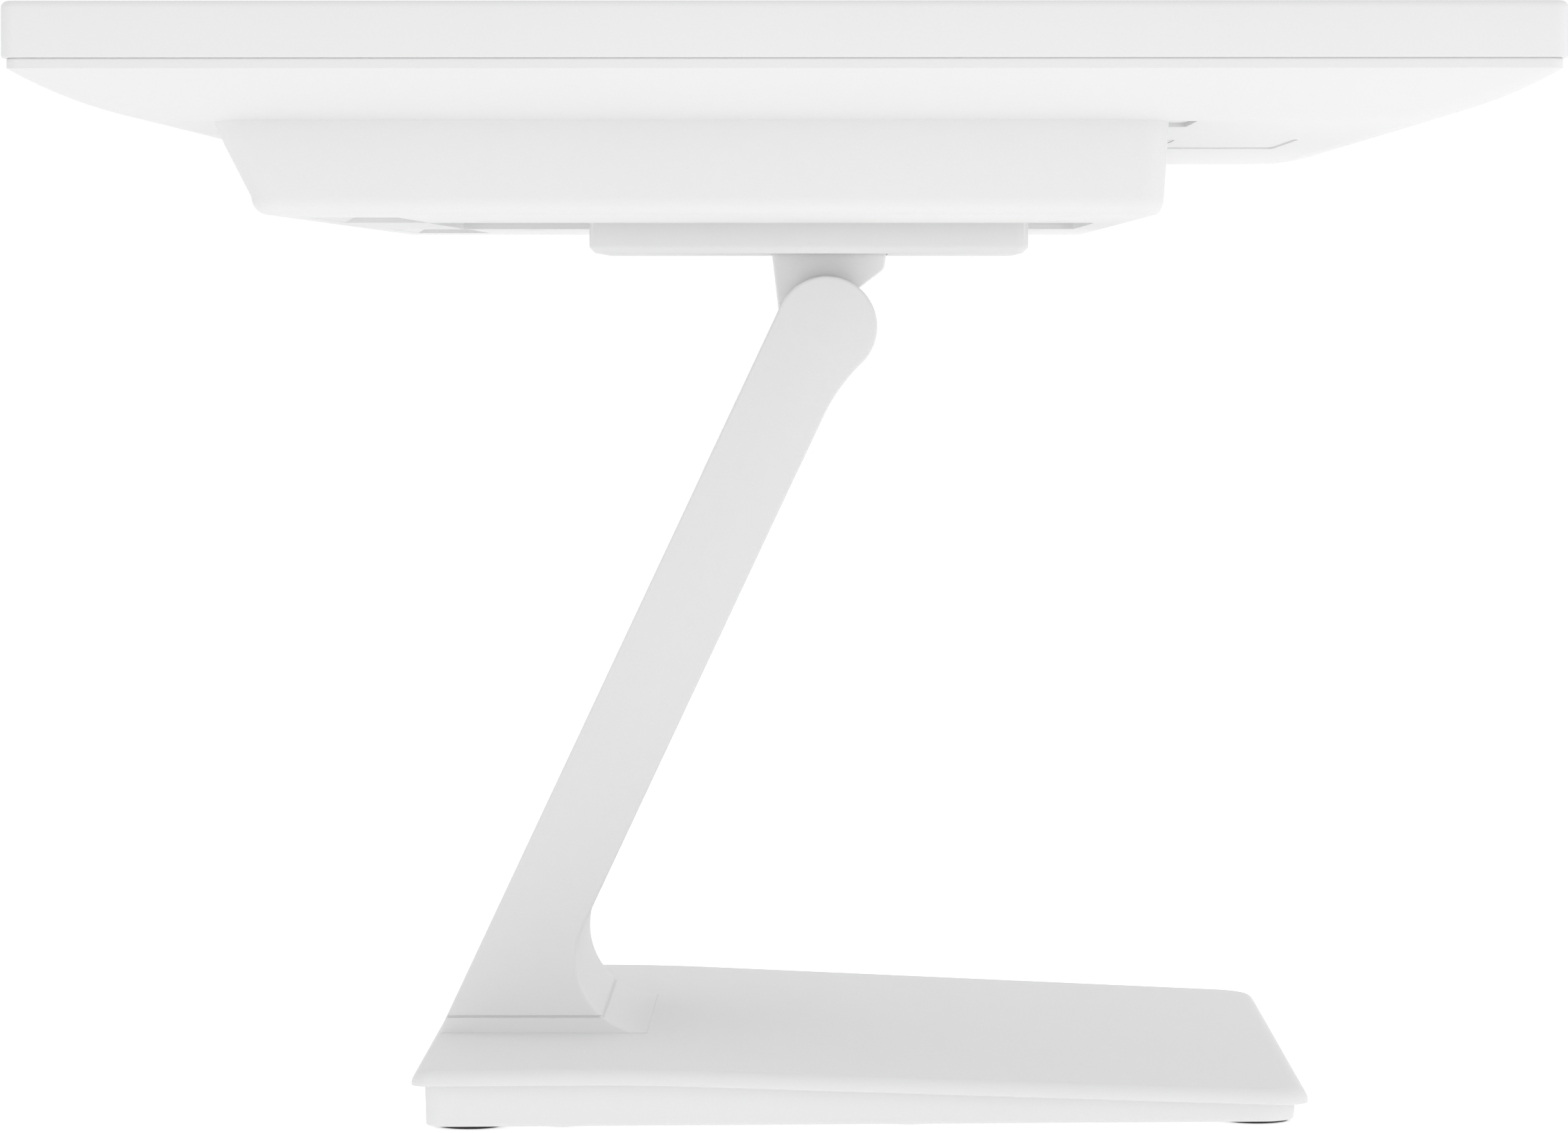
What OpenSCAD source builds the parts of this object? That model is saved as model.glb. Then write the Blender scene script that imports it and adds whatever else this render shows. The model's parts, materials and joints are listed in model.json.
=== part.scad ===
// Video magnifier: a flat display head with a camera in its underside, carried by one
// friction hinge on a leaning neck and a weighted base. Millimetres, +Z up.
// X runs along the screen's long side, the reader sits towards -Y, the origin is the
// centre of the footprint on the desk, and the head is drawn lying flat.

/* [Display head] */
// Long side of the head
head_w = 574; // [572:1:590]
// Short side of the head
head_d = 355.4; // [354:0.2:362]
// Height of the front frame's side band
band_t = 12.9; // [12.6:0.1:13.6]
// Depth of the dished rear cover below the band
dish_t = 13.5; // [13:0.1:14.5]
// Depth of the electronics housing below the dish
housing_t = 21.7; // [21:0.1:24]
// Wall of the plastic shells
wall = 2.2; // [1.8:0.1:2.4]

/* [Screen] */
// Lit width of the screen
lit_w = 527; // [500:1:530]
// Lit height of the screen
lit_d = 296.5; // [280:0.5:298]
// Cover glass width
glass_w = 546; // [542:1:552]
// Cover glass height
glass_d = 314; // [310:1:316]
// How far the screen is moved away from the reader to make room for the keys
screen_y = 7; // [6:0.5:8]

/* [Stand] */
// Height of the hinge axis above the desk
hinge_z = 202.2; // [190:0.1:220]
// Hinge axis in front of the head's centre
hinge_y = -8.8; // [-12:0.1:-6]
// Lean of the neck from upright, in degrees
lean = 25.2; // [23:0.1:26]
// Width of the neck
neck_w = 98; // [98:0.2:104]
// Thickness of the neck
neck_t = 22.6; // [22:0.1:23.4]
// Radius of the neck's round head
knuckle_r = 13.3; // [13.2:0.1:13.8]
// Radius of the hinge pin
pin_r = 5; // [4:0.1:5.5]

/* [Base] */
// Front edge of the base
base_front = -131.6; // [-138:0.1:-128]
// Rear edge of the base
base_rear = 95.4; // [95:0.1:97]
// Width of the base at the front
base_front_w = 242; // [238:1:250]
// Width of the base at the rear
base_rear_w = 267.6; // [262:0.2:276]
// Thickness of the rubber feet that shows
foot_gap = 1.05; // [0.8:0.05:1.3]

/* [Hidden] */
$fn = 48;
eps = 0.01;

// Levels of the head, counted down from the screen face
head_gap = 26.9;                          // hinge axis to the housing's underside
z_housing = hinge_z + head_gap;           // underside of the electronics housing
z_dish = z_housing + housing_t;           // flat underside of the rear cover
z_seam = z_dish + dish_t;                 // seam between rear cover and front frame
z_top = z_seam + band_t;                  // front face of the frame
z_band = z_seam - 2.3;                    // lower end of the rear cover's upright rim

// Rear cover: an arc of this radius runs from its steep rim to its flat underside
dish_inset = 1.1;
dish_steep = 32;
dish_shallow = 8;
dish_r = (z_band - z_dish) / (cos(dish_shallow) - cos(dish_steep));

// Electronics housing, as X half width and Y limits at its root
housing_x = 256;
housing_front = -89;
housing_rear = 133;
housing_corner = 6;
housing_slope = 9;                        // the rear wall leans in by this much
housing_edge = 4.2;                       // rounding along the underside
housing_floor = z_housing + wall;

// Recess under the housing that takes the mount plate
recess_x = 80;
recess_y = [-78, 93.4];
recess_t = 1.8;
z_recess = z_housing + recess_t;

// Port bays behind the recess, each a ramp that ends at its connector wall
bay_x = [84, 200];
bay_y = [93.4, 115];
bay_t = 10.5;
bay_wall = 2;
z_ports = z_housing + 9.5;                // underside of the main board above the ports

// Camera recess in front of the housing
camera_x = -14;
camera_y = -96.2;
camera_recess_x = 55;
camera_recess_front = -131.4;
camera_recess_t = 0.4;
window_x = 32;
window_y = 4.1;
window_t = 1;
z_camera_floor = z_dish + camera_recess_t;
side_recess_x = [197, 251];
side_recess_front = -95.5;
side_recess_t = 1;

// Screen stack, from the glass down
glass_t = 1.8;
glass_drop = 0.3;
gasket_t = 0.6;
cell_t = 1.8;
guide_t = 3.4;
tray_t = 7;
tray_wall = 0.8;
z_glass = z_top - glass_drop - glass_t;   // underside of the glass
z_ledge = z_glass - gasket_t;             // top of the ledge that carries the glass
z_cell_top = z_ledge - 2;                 // underside of that ledge
ledge_w = lit_w + 5;
ledge_d = lit_d + 5.5;
cell_w = lit_w + 12;
cell_d = lit_d + 12.5;
z_tray = z_cell_top - tray_t;
chassis_t = 1.2;
z_chassis = z_tray - chassis_t;           // underside of the steel chassis plate
chassis_w = head_w - 14;
chassis_d = head_d - 14;
boss_places = [[276, -140], [276, 0], [276, 140]];

// Front keys, in the order power, light, zoom out, zoom in, colour mode
key_y = -164.5;
key_x = [-240, -54, -18, 18, 54];
key_r = 6;
key_gap = 0.35;
key_travel = 0.8;
key_plate = 2.5;
z_key_plate = z_top - key_plate;
board_t = 1.6;
z_control = z_top - 9.8;                  // top of the control board

// Stand-offs and screws that hold the housing
standoff_places = [[225, -66], [225, 76], [112, -66], [112, 76]];
vesa = 100;

// Hinge, from the middle outwards along X
bracket_x = 30;
washer_x = [30.1, 32.4];
ear_x = [32.5, 37.5];
spring_x = [37.6, 41.2];
nut_x = [41.2, 45];
pin_x = 45.6;
slot_x = 30.7;
barrel_r = 12.6;
ear_r = 10.3;
running = 0.05;                           // radial clearance of the pin in the ears

// Mount plate and its cover
mount_y = -4.15;
mount_half = 57.45;
z_mount = z_housing - 7.7;
mount_chamfer = 1.6;
steel_t = 3;
z_steel = z_recess - steel_t;

// Neck, in its own directions: s runs down the neck and t runs towards its rear face
neck_x = neck_w / 2;
neck_front_t = neck_t - knuckle_r;
neck_wall = 2.4;
bulge_r = 48;                             // hollow blend from the round head to the front face
foot_r = 19.5;                            // hollow curve at the foot of the front face
z_base_top = 15.75;
z_collar = z_base_top + 4.05;

// Base
base_turn = 38;                           // the top falls towards the reader from here
base_fall = 0.037;                        // and falls this much for each millimetre
rim_t = 4.1;
base_skin = 2.4;
base_corner = 10;
tray_inset = 3.2;
tray_skin = 2.2;
tray_floor = 2;
z_tray_floor = foot_gap + tray_floor;
weight_t = 4.5;
z_weight = z_tray_floor + weight_t;
foot_rad = 8.5;
feet = [[118, 81.4], [104.5, -118.6]];
base_screw_places = [[118, 58], [112, -30], [98, -105]];
neck_bolt_places = [[26, 53], [26, 68]];

WHITE = [0.93, 0.93, 0.93];
GREY = [0.6, 0.61, 0.62];
STEEL = [0.72, 0.73, 0.75];
BLACK = [0.06, 0.06, 0.06];
GREEN = [0.1, 0.35, 0.2];

// ---------- shapes that repeat ----------

// Rounded rectangle between two corners
module rounded(x0, x1, y0, y1, r) {
    translate([x0 + r, y0]) square([x1 - x0 - 2 * r, y1 - y0]);
    translate([x0, y0 + r]) square([x1 - x0, y1 - y0 - 2 * r]);
    for (x = [x0 + r, x1 - r], y = [y0 + r, y1 - r]) translate([x, y]) circle(r);
}

// Rounded rectangle of size w by d, centred on X and at y, from z0 to z1
module plate(w, d, r, z0, z1, y = 0) {
    translate([0, 0, z0]) linear_extrude(z1 - z0) rounded(-w / 2, w / 2, y - d / 2, y + d / 2, r);
}

// Points of a rounded rectangle at height z, from y0 to y1 and hx to each side
function ring(hx, y0, y1, r, z, n = 5) = [
    for (c = [[hx - r, y1 - r, 0], [r - hx, y1 - r, 90], [r - hx, y0 + r, 180], [hx - r, y0 + r, 270]],
         i = [0:n])
        let (a = c[2] + 90 * i / n) [c[0] + r * cos(a), c[1] + r * sin(a), z]
];

// Solid through a pile of rings with equal counts of points, lowest first
module pile(rings) {
    n = len(rings[0]);
    m = len(rings);
    polyhedron(
        points = [for (r = rings, p = r) p],
        faces = concat(
            [[for (i = [0:n - 1]) i]],
            [for (k = [0:m - 2], i = [0:n - 1]) [k * n + i, (k + 1) * n + i, (k + 1) * n + (i + 1) % n]],
            [for (k = [0:m - 2], i = [0:n - 1]) [k * n + i, (k + 1) * n + (i + 1) % n, k * n + (i + 1) % n]],
            [[for (i = [n - 1:-1:0]) (m - 1) * n + i]]));
}

module box(x, y, z) {
    translate([x[0], y[0], z[0]]) cube([x[1] - x[0], y[1] - y[0], z[1] - z[0]]);
}

module post(x, y, z0, z1, r) {
    translate([x, y, z0]) cylinder(h = z1 - z0, r = r);
}

// Upright tube
module tube(x, y, z0, z1, r, bore) {
    difference() {
        post(x, y, z0, z1, r);
        post(x, y, z0 - 1, z1 + 1, bore);
    }
}

// A (Y, Z) outline swept along X between two places
module along_x(x0, x1) {
    translate([x0, 0, 0]) rotate([90, 0, 90]) linear_extrude(x1 - x0) children();
}

// Round bar along the hinge axis
module hinge_bar(x0, x1, r) {
    translate([x0, hinge_y, hinge_z]) rotate([0, 90, 0]) cylinder(h = x1 - x0, r = r);
}

// Ring about the hinge axis
module hinge_ring(x0, x1, r, bore) {
    difference() {
        hinge_bar(x0, x1, r);
        hinge_bar(x0 - 1, x1 + 1, bore);
    }
}

// The same piece on the left and on the right
module both_sides() {
    children();
    mirror([1, 0, 0]) children();
}

// Screw pointing up from its head
module screw_up(x, y, z, length, r, head_r, head_t) {
    post(x, y, z, z + head_t, head_r);
    post(x, y, z + head_t - eps, z + length, r);
}

// Screw pointing down from its head
module screw_down(x, y, z, length, r, head_r, head_t) {
    post(x, y, z - head_t, z, head_r);
    post(x, y, z - length, z - head_t + eps, r);
}

// ---------- display head shells ----------

// Outer form of the front frame, with its upper edge rounded
module frame_form() {
    edge = 1.7;
    pile(concat(
        [frame_ring(0.3, z_seam), frame_ring(0, z_seam + 0.3)],
        [for (a = [0:22.5:90]) frame_ring(edge * (1 - cos(a)), z_top - edge * (1 - sin(a)))]));
}

function frame_ring(inset, z) =
    ring(head_w / 2 - inset, inset - head_d / 2, head_d / 2 - inset, 3.2 - inset, z);

module front_frame() {
    color(WHITE) difference() {
        frame_form();
        plate(head_w - 5, head_d - 5, 1.5, z_seam - 1, z_cell_top);
        plate(glass_w + 0.4, glass_d + 0.4, 2.2, z_ledge, z_top + 1, screen_y);
        plate(ledge_w, ledge_d, 1, z_cell_top - 1, z_top, screen_y);
        box([-270, 270], [-head_d / 2 + 2.5, key_y + 10], [z_cell_top - 1, z_key_plate]);
        for (x = key_x) post(x, key_y, z_key_plate - 1, z_top + 1, key_r + key_gap);
    }
    color(WHITE) both_sides() for (p = boss_places)
        tube(p[0], p[1], z_tray, z_cell_top + 0.6, 4, 1.5);
}

module cover_glass() {
    color(BLACK) plate(glass_w, glass_d, 2, z_glass, z_top - glass_drop, screen_y);
}

module glass_gasket() {
    color(BLACK) difference() {
        plate(glass_w - 1, glass_d - 1, 2, z_ledge, z_glass, screen_y);
        plate(ledge_w + 0.5, ledge_d + 0.5, 1, z_ledge - 1, z_glass + 1, screen_y);
    }
}

// Dished form of the rear cover, shrunk by t for its inside
module dish_form(t, top) {
    pile(concat(
        [for (a = [dish_shallow:4:dish_steep])
            dish_ring(t + dish_r * (sin(dish_steep) - sin(a)), z_band + t - dish_r * (cos(a) - cos(dish_steep)),
                      3.2 + 0.5 * dish_r * (sin(dish_steep) - sin(a)))],
        [dish_ring(t, top, 3.2)]));
}

function dish_ring(inset, z, r) =
    ring(head_w / 2 - dish_inset - inset, dish_inset + inset - head_d / 2,
         head_d / 2 - dish_inset - inset, r, z);

module rear_cover() {
    lip = 2.6;
    color(WHITE) difference() {
        dish_form(0, z_seam);
        dish_form(wall, z_seam + 1);
        box([-housing_x + 6, housing_x - 6], [housing_front + 6, housing_rear - 6],
            [z_dish - 1, z_dish + 5]);
        box([camera_x - camera_recess_x, camera_x + camera_recess_x],
            [camera_recess_front, housing_front], [z_dish - 1, z_camera_floor]);
        box([camera_x - window_x, camera_x + window_x],
            [camera_y - window_y, camera_y + window_y], [z_dish - 1, z_camera_floor + window_t]);
        box([camera_x - window_x + 1.5, camera_x + window_x - 1.5],
            [camera_y - window_y + 1, camera_y + window_y - 1], [z_dish - 1, z_dish + 5]);
        both_sides() box(side_recess_x, [side_recess_front, housing_front],
                         [z_dish - 1, z_dish + side_recess_t]);
    }
    // tongues that locate the front frame
    color(WHITE) for (k = [-1, 1]) {
        translate([-250, k * (head_d / 2 - lip - 0.5) - 0.5, z_seam - 2]) cube([500, 1, 4]);
        translate([k * (head_w / 2 - lip - 0.5) - 0.5, -150, z_seam - 2]) cube([1, 300, 4]);
    }
}

// Outer form of the electronics housing, shrunk by t for its inside and run up to top
module housing_form(t, top) {
    pile(concat(
        [for (a = [90:-22.5:0])
            housing_ring(t + housing_edge * (1 - cos(a)), z_housing + t + housing_edge * (1 - sin(a)), 1)],
        [housing_ring(t, z_dish, 0)],
        top > z_dish ? [housing_ring(t, top, 0)] : []));
}

// lean_in runs from 0 at the root to 1 at the underside
function housing_ring(inset, z, lean_in) =
    ring(housing_x - inset, housing_front + inset + 1.2 * lean_in,
         housing_rear - inset - housing_slope * lean_in, max(1.5, housing_corner - inset), z);

module screw_holes() {
    both_sides() for (p = standoff_places) {
        post(p[0], p[1], z_housing - 1, housing_floor + 1, 1.7);
        post(p[0], p[1], z_housing - 1, z_housing + 1.5, 3.2);
    }
    both_sides() for (y = [mount_y - vesa / 2, mount_y + vesa / 2])
        post(vesa / 2, y, z_housing - 1, z_recess + wall + 1, 2.1);
}

module electronics_housing() {
    vents = 50;
    vent_pitch = 7;
    slots = 8;
    color(WHITE) difference() {
        housing_form(0, z_dish);
        difference() {
            housing_form(wall, z_dish + 1);
            box([-recess_x - 2, recess_x + 2], [recess_y[0] - 2, bay_y[0] - bay_wall - 0.1],
                [z_housing, z_recess + wall]);
        }
        box([-recess_x, recess_x], [recess_y[0], bay_y[0] + 1], [z_housing - 1, z_recess]);
        both_sides() box(bay_x, bay_y, [z_housing - 1, z_housing + bay_t]);
        for (i = [0:vents - 1])
            translate([(i - (vents - 1) / 2) * vent_pitch - 1.2, housing_rear - 16, z_dish - 12])
                cube([2.4, 20, 8]);
        both_sides() for (i = [0:slots - 1])
            translate([190 + i * 6, housing_front - 1, z_dish - 14]) cube([2, 5, 9]);
        screw_holes();
    }
}

// Liners of the port bays: connector wall, hollow ramp and two ends
module port_bay() {
    color(WHITE) difference() {
        union() {
            both_sides() along_x(bay_x[0] + 0.1, bay_x[1] - 0.1) port_bay_section();
            both_sides() for (x = [bay_x[0] + 0.1, bay_x[1] - 2]) along_x(x, x + 1.9) polygon([
                [bay_y[0] - bay_wall, housing_floor + 0.1],
                [bay_y[0], housing_floor + 0.1],
                [bay_y[0], z_housing],
                [bay_y[1] - 0.1, z_housing],
                [bay_y[1] - 0.1, housing_floor],
                [bay_y[0], z_housing + bay_t],
                [bay_y[0] - bay_wall, z_housing + bay_t]
            ]);
        }
        port_openings(0.1);
    }
}

module port_bay_section() {
    steps = 8;
    scoop = 2.2;
    inner = [for (i = [0:steps]) let (u = i / steps)
        [bay_y[0] + (bay_y[1] - 0.1 - bay_y[0]) * u,
         z_housing + (bay_t - bay_wall) * (1 - u) + scoop * sin(180 * u) * 0.5]];
    outer = [for (i = [steps:-1:0]) let (u = i / steps)
        [bay_y[0] + (bay_y[1] - 0.1 - bay_y[0]) * u,
         z_housing + (bay_t - bay_wall) * (1 - u) + scoop * sin(180 * u) * 0.5 + bay_wall]];
    polygon(concat(
        [[bay_y[0] - bay_wall, housing_floor + 0.1], [bay_y[0], housing_floor + 0.1]],
        inner, outer,
        [[bay_y[0] - bay_wall, z_housing + bay_t]]));
}

// Port openings: X centre, width and height, hung from the main board
ports = [[150, 9, 7.2], [-176, 15, 6.2], [-152, 14.4, 7], [-130, 14.4, 7], [-98, 7, 7]];

module port_openings(grow) {
    for (p = ports)
        box([p[0] - p[1] / 2 - grow, p[0] + p[1] / 2 + grow], [bay_y[0] - 6, bay_y[0] + 1],
            [z_ports - p[2] - grow, z_ports + grow]);
}

// Sockets with real mouths: power inlet, video, two data ports and audio
module port_connectors() {
    front = bay_y[0] - 0.2;
    depth = 13;
    color(STEEL) difference() {
        for (p = ports)
            box([p[0] - p[1] / 2, p[0] + p[1] / 2], [front - depth, front],
                [z_ports - p[2], z_ports]);
        for (i = [0, 4]) translate([ports[i][0], front + 1, z_ports - ports[i][2] / 2])
            rotate([90, 0, 0]) cylinder(h = depth - 2, r = i == 0 ? 2.8 : 1.8);
        for (i = [1, 2, 3])
            box([ports[i][0] - ports[i][1] / 2 + 0.6, ports[i][0] + ports[i][1] / 2 - 0.6],
                [front - depth + 2, front + 1], [z_ports - ports[i][2] + 0.6, z_ports - 0.6]);
    }
    color(BLACK) for (i = [1, 2, 3])
        box([ports[i][0] - ports[i][1] / 2 + 1.8, ports[i][0] + ports[i][1] / 2 - 1.8],
            [front - depth + 2 - eps, front - 1.5], [z_ports - 2.8, z_ports - 1.4]);
    color(STEEL) translate([ports[0][0], front - 1, z_ports - ports[0][2] / 2])
        rotate([90, 0, 0]) cylinder(h = depth - 3, r = 0.8);
}

// ---------- screen stack ----------

module lcd_cell() {
    color(BLACK) plate(cell_w - 4, cell_d - 4, 1, z_cell_top - cell_t, z_cell_top, screen_y);
}

module light_guide() {
    color(WHITE) plate(cell_w - 8, cell_d - 8, 1, z_tray + tray_wall, z_tray + tray_wall + guide_t,
                       screen_y);
}

// LED strip along the screen's near edge
module backlight_bar() {
    leds = 48;
    y0 = screen_y - cell_d / 2 + tray_wall + 0.2;
    color(WHITE) box([-cell_w / 2 + 8, cell_w / 2 - 8], [y0, y0 + 0.9], [z_tray + 1, z_tray + 4.4]);
    color(WHITE) for (i = [0:leds - 1])
        translate([(i - (leds - 1) / 2) * 10.8 - 2, y0 + 0.9 - eps, z_tray + 1.5]) cube([4, 0.7, 2.4]);
}

module panel_tray() {
    color(STEEL) difference() {
        plate(cell_w, cell_d, 1.5, z_tray, z_cell_top, screen_y);
        plate(cell_w - 2 * tray_wall, cell_d - 2 * tray_wall, 1, z_tray + tray_wall, z_top, screen_y);
    }
}

module chassis_plate() {
    color(STEEL) difference() {
        plate(chassis_w, chassis_d, 3, z_chassis, z_tray);
        both_sides() for (p = boss_places) post(p[0], p[1], z_chassis - 1, z_tray + 1, 1.6);
        box([-40, 40], [-150, -142], [z_chassis - 1, z_tray + 1]);
    }
}

module chassis_screws() {
    color(STEEL) both_sides() for (p = boss_places)
        screw_up(p[0], p[1], z_chassis - 1.6, 8, 1.45, 3, 1.6);
}

module standoffs() {
    color(STEEL) both_sides() for (p = standoff_places) difference() {
        post(p[0], p[1], housing_floor, z_chassis, 4);
        post(p[0], p[1], housing_floor - 1, housing_floor + 10, 1.5);
    }
    color(STEEL) both_sides() for (y = [mount_y - vesa / 2, mount_y + vesa / 2]) difference() {
        post(vesa / 2, y, z_recess + wall, z_chassis, 6);
        post(vesa / 2, y, z_recess, z_recess + wall + 12, 2);
    }
}

module housing_screws() {
    color(STEEL) both_sides() for (p = standoff_places)
        screw_up(p[0], p[1], z_housing + 0.1, 10, 1.45, 3, 1.4);
}

// ---------- electronics ----------

// Holes that let the rear stand-offs through a board
module standoff_passes() {
    both_sides() {
        post(112, 76, z_ports - 1, z_ports + board_t + 1, 4.4);
        post(vesa / 2, mount_y + vesa / 2, z_ports - 1, z_ports + board_t + 1, 6.4);
    }
}

module main_board() {
    color(GREEN) difference() {
        box([-186, -16], [2, bay_y[0] - bay_wall - 0.2], [z_ports, z_ports + board_t]);
        standoff_passes();
    }
}

module board_chips() {
    z = z_ports + board_t;
    color(BLACK) {
        box([-120, -90], [30, 60], [z, z + 1.8]);
        for (x = [-172, -154, -76, -34]) translate([x, 34, z]) cube([12, 20, 1.2]);
        for (i = [0:7]) translate([-170 + i * 18, 12, z]) cube([8, 8, 1]);
    }
    color(STEEL) for (i = [0:4]) post(-172 + i * 24, 76, z, z + 6, 3.2);
}

module heat_sink() {
    fins = 10;
    z = z_ports + board_t + 1.8;
    color(STEEL) box([-127, -83], [23, 67], [z, z + 2]);
    color(STEEL) for (i = [0:fins - 1])
        translate([-127 + i * 4.75, 23, z + 2 - eps]) cube([1.2, 44, 7]);
}

module power_board() {
    color(GREEN) difference() {
        box([20, 186], [2, 84], [z_ports, z_ports + board_t]);
        standoff_passes();
    }
}

module power_parts() {
    z = z_ports + board_t;
    color(BLACK) box([66, 92], [14, 40], [z, z + 13]);
    color(BLACK) for (x = [106, 120, 134]) post(x, 30, z, z + 14, 5);
    color(STEEL) box([80, 150], [56, 59], [z, z + 14]);
    color(BLACK) box([156, 176], [20, 34], [z, z + 9]);
}

module speakers() {
    color(BLACK) both_sides() box([186, 240], [housing_front + wall + 1.6, housing_front + 16],
                                  [z_housing + 5, z_dish - 2]);
}

// Flat cable from the main board up to the panel
module panel_cable() {
    z0 = z_ports + board_t;
    color(BLACK) {
        box([-34, -20], [6, 10], [z0, z0 + 3]);
        box([-34, -20], [7.8, 8.2], [z0 + 3 - eps, z_chassis - 1]);
        box([-34, -20], [-146, 8.2], [z_chassis - 1.4, z_chassis - 1]);
        box([-34, -20], [-146, -145.6], [z_chassis - 1.4, z_tray + 0.1]);
    }
}

module control_board() {
    color(GREEN) box([-256, 74], [-174, -150.5], [z_control - board_t, z_control]);
}

module key_switches() {
    color(BLACK) for (x = key_x) {
        translate([x - 3, key_y - 3, z_control]) cube([6, 6, 2.4]);
        post(x, key_y, z_control + 2.4 - eps, z_control + 3.2, 1.7);
    }
}

// Key with a finger dish, a flange under the frame and a stem over its switch
module key(i) {
    dish = 30;
    flange = [z_key_plate - 1.3, z_key_plate - 0.15];
    color(GREY) difference() {
        union() {
            post(key_x[i], key_y, flange[0], z_top - 0.1, key_r);
            post(key_x[i], key_y, flange[0], flange[1], key_r + 1.4);
            post(key_x[i], key_y, z_control + 4.1, flange[0] + eps, 1.6);
        }
        translate([key_x[i], key_y, z_top - 0.6 + dish]) sphere(dish);
    }
}

module power_key() key(0);
module light_key() key(1);
module zoom_out_key() key(2);
module zoom_in_key() key(3);
module mode_key() key(4);

// ---------- camera and lamps, looking down at the page ----------

module camera_window() {
    color(BLACK) box([camera_x - window_x + 0.1, camera_x + window_x - 0.1],
                     [camera_y - window_y + 0.1, camera_y + window_y - 0.1],
                     [z_camera_floor + 0.1, z_camera_floor + window_t]);
}

z_optics = z_dish + wall;                 // inside face of the rear cover

module camera_housing() {
    color(BLACK) difference() {
        box([camera_x - 8, camera_x + 8], [camera_y - 8, camera_y + 6], [z_optics, z_optics + 7]);
        post(camera_x, camera_y, z_optics - 1, z_optics + 8, 4.1);
    }
}

module lens_barrel() {
    color(BLACK) tube(camera_x, camera_y, z_optics + 0.3, z_optics + 7, 4, 3);
}

module lens_glass() {
    color(GREY) post(camera_x, camera_y, z_optics + 1.2, z_optics + 3.4, 3);
}

module camera_board() {
    color(GREEN) box([camera_x - 9, camera_x + 9], [camera_y - 9, camera_y + 6.5],
                     [z_optics + 7, z_optics + 8]);
    color(BLACK) box([camera_x - 2.4, camera_x + 2.4], [camera_y - 2, camera_y + 2],
                     [z_optics + 6, z_optics + 7 + eps]);
}

module light_boards() {
    color(GREEN) for (k = [-1, 1])
        translate([camera_x + k * 20 - 11, camera_y - 5, z_optics + 0.9]) cube([22, 10, 1]);
}

module light_leds() {
    color(WHITE) for (k = [-1, 1], i = [-1:1])
        translate([camera_x + k * 20 + i * 7 - 1.5, camera_y - 1.5, z_optics + 0.1]) cube([3, 3, 0.8]);
}

// ---------- mount and hinge ----------

module mount_cover() {
    color(WHITE) difference() {
        pile([mount_ring(mount_chamfer, z_mount), mount_ring(0, z_mount + mount_chamfer),
              mount_ring(0, z_recess - 0.15)]);
        box([-mount_half + 2, mount_half - 2], [mount_y - mount_half + 2, mount_y + mount_half - 2],
            [z_mount + 2, z_recess + 1]);
        box([-bracket_x - 0.4, bracket_x + 0.4], [-25, 6.3], [z_mount - 1, z_mount + 3]);
    }
}

function mount_ring(inset, z) =
    ring(mount_half - inset, mount_y - mount_half + inset, mount_y + mount_half - inset, 3 - inset * 0.6, z);

module mount_plate() {
    color(STEEL) difference() {
        plate(110, 110, 2, z_steel, z_recess, mount_y);
        both_sides() for (y = [mount_y - vesa / 2, mount_y + vesa / 2])
            post(vesa / 2, y, z_steel - 1, z_recess + 1, 2.2);
        both_sides() for (y = [-36, 20]) post(34, y, z_steel - 1, z_recess + 1, 2);
    }
}

module mount_screws() {
    color(STEEL) both_sides() for (y = [mount_y - vesa / 2, mount_y + vesa / 2])
        screw_up(vesa / 2, y, z_steel - 2.4, 15, 1.95, 3.8, 2.4);
}

module hinge_bracket() {
    color(GREY) difference() {
        union() {
            along_x(-bracket_x, bracket_x) polygon([
                [hinge_y, hinge_z], [hinge_y + 12.4, hinge_z], [4.0, 205.8 - 202.2 + hinge_z],
                [5.8, z_mount], [5.8, z_steel - 2], [-24.5, z_steel - 2], [-24.5, z_mount],
                [-24.1, hinge_z + 15.3], [-23.4, hinge_z + 14.7], [hinge_y - 8, hinge_z + 9.7]
            ]);
            hinge_bar(-bracket_x, bracket_x, barrel_r);
            box([-42, 42], [-44, 28], [z_steel - 3, z_steel]);
        }
        hinge_bar(-bracket_x - 1, bracket_x + 1, pin_r + 0.01);
        both_sides() for (y = [-36, 20]) post(34, y, z_steel - 4, z_steel + 1, 2.1);
    }
}

module bracket_screws() {
    color(STEEL) both_sides() for (y = [-36, 20])
        screw_up(34, y, z_steel - 4.4, 6.9, 1.9, 3.5, 1.4);
}

module hinge_pin() {
    color(STEEL) hinge_bar(-pin_x, pin_x, pin_r);
}

module hinge_nuts() {
    color(STEEL) both_sides() difference() {
        translate([nut_x[0], hinge_y, hinge_z]) rotate([0, 90, 0])
            cylinder(h = nut_x[1] - nut_x[0], r = 9.2, $fn = 6);
        hinge_bar(nut_x[0] - 1, nut_x[1] + 1, pin_r + 0.01);
    }
}

module friction_washers() {
    color(STEEL) both_sides() hinge_ring(washer_x[0], washer_x[1], 9.6, pin_r + 0.02);
}

// Cone spring washers, stacked in pairs
module spring_washers() {
    cone_t = (spring_x[1] - spring_x[0]) / 4;
    color(STEEL) both_sides() for (i = [0:3])
        hinge_ring(spring_x[0] + i * cone_t, spring_x[0] + (i + 1) * cone_t - 0.08, 9.2 - 0.7 * (i % 2),
                   pin_r + 0.02);
}

// ---------- neck ----------

// Lays an outline in the neck's own directions, s down the neck and t to its rear
module neck_frame() {
    translate([hinge_y, hinge_z]) rotate(lean - 90) children();
}

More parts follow.
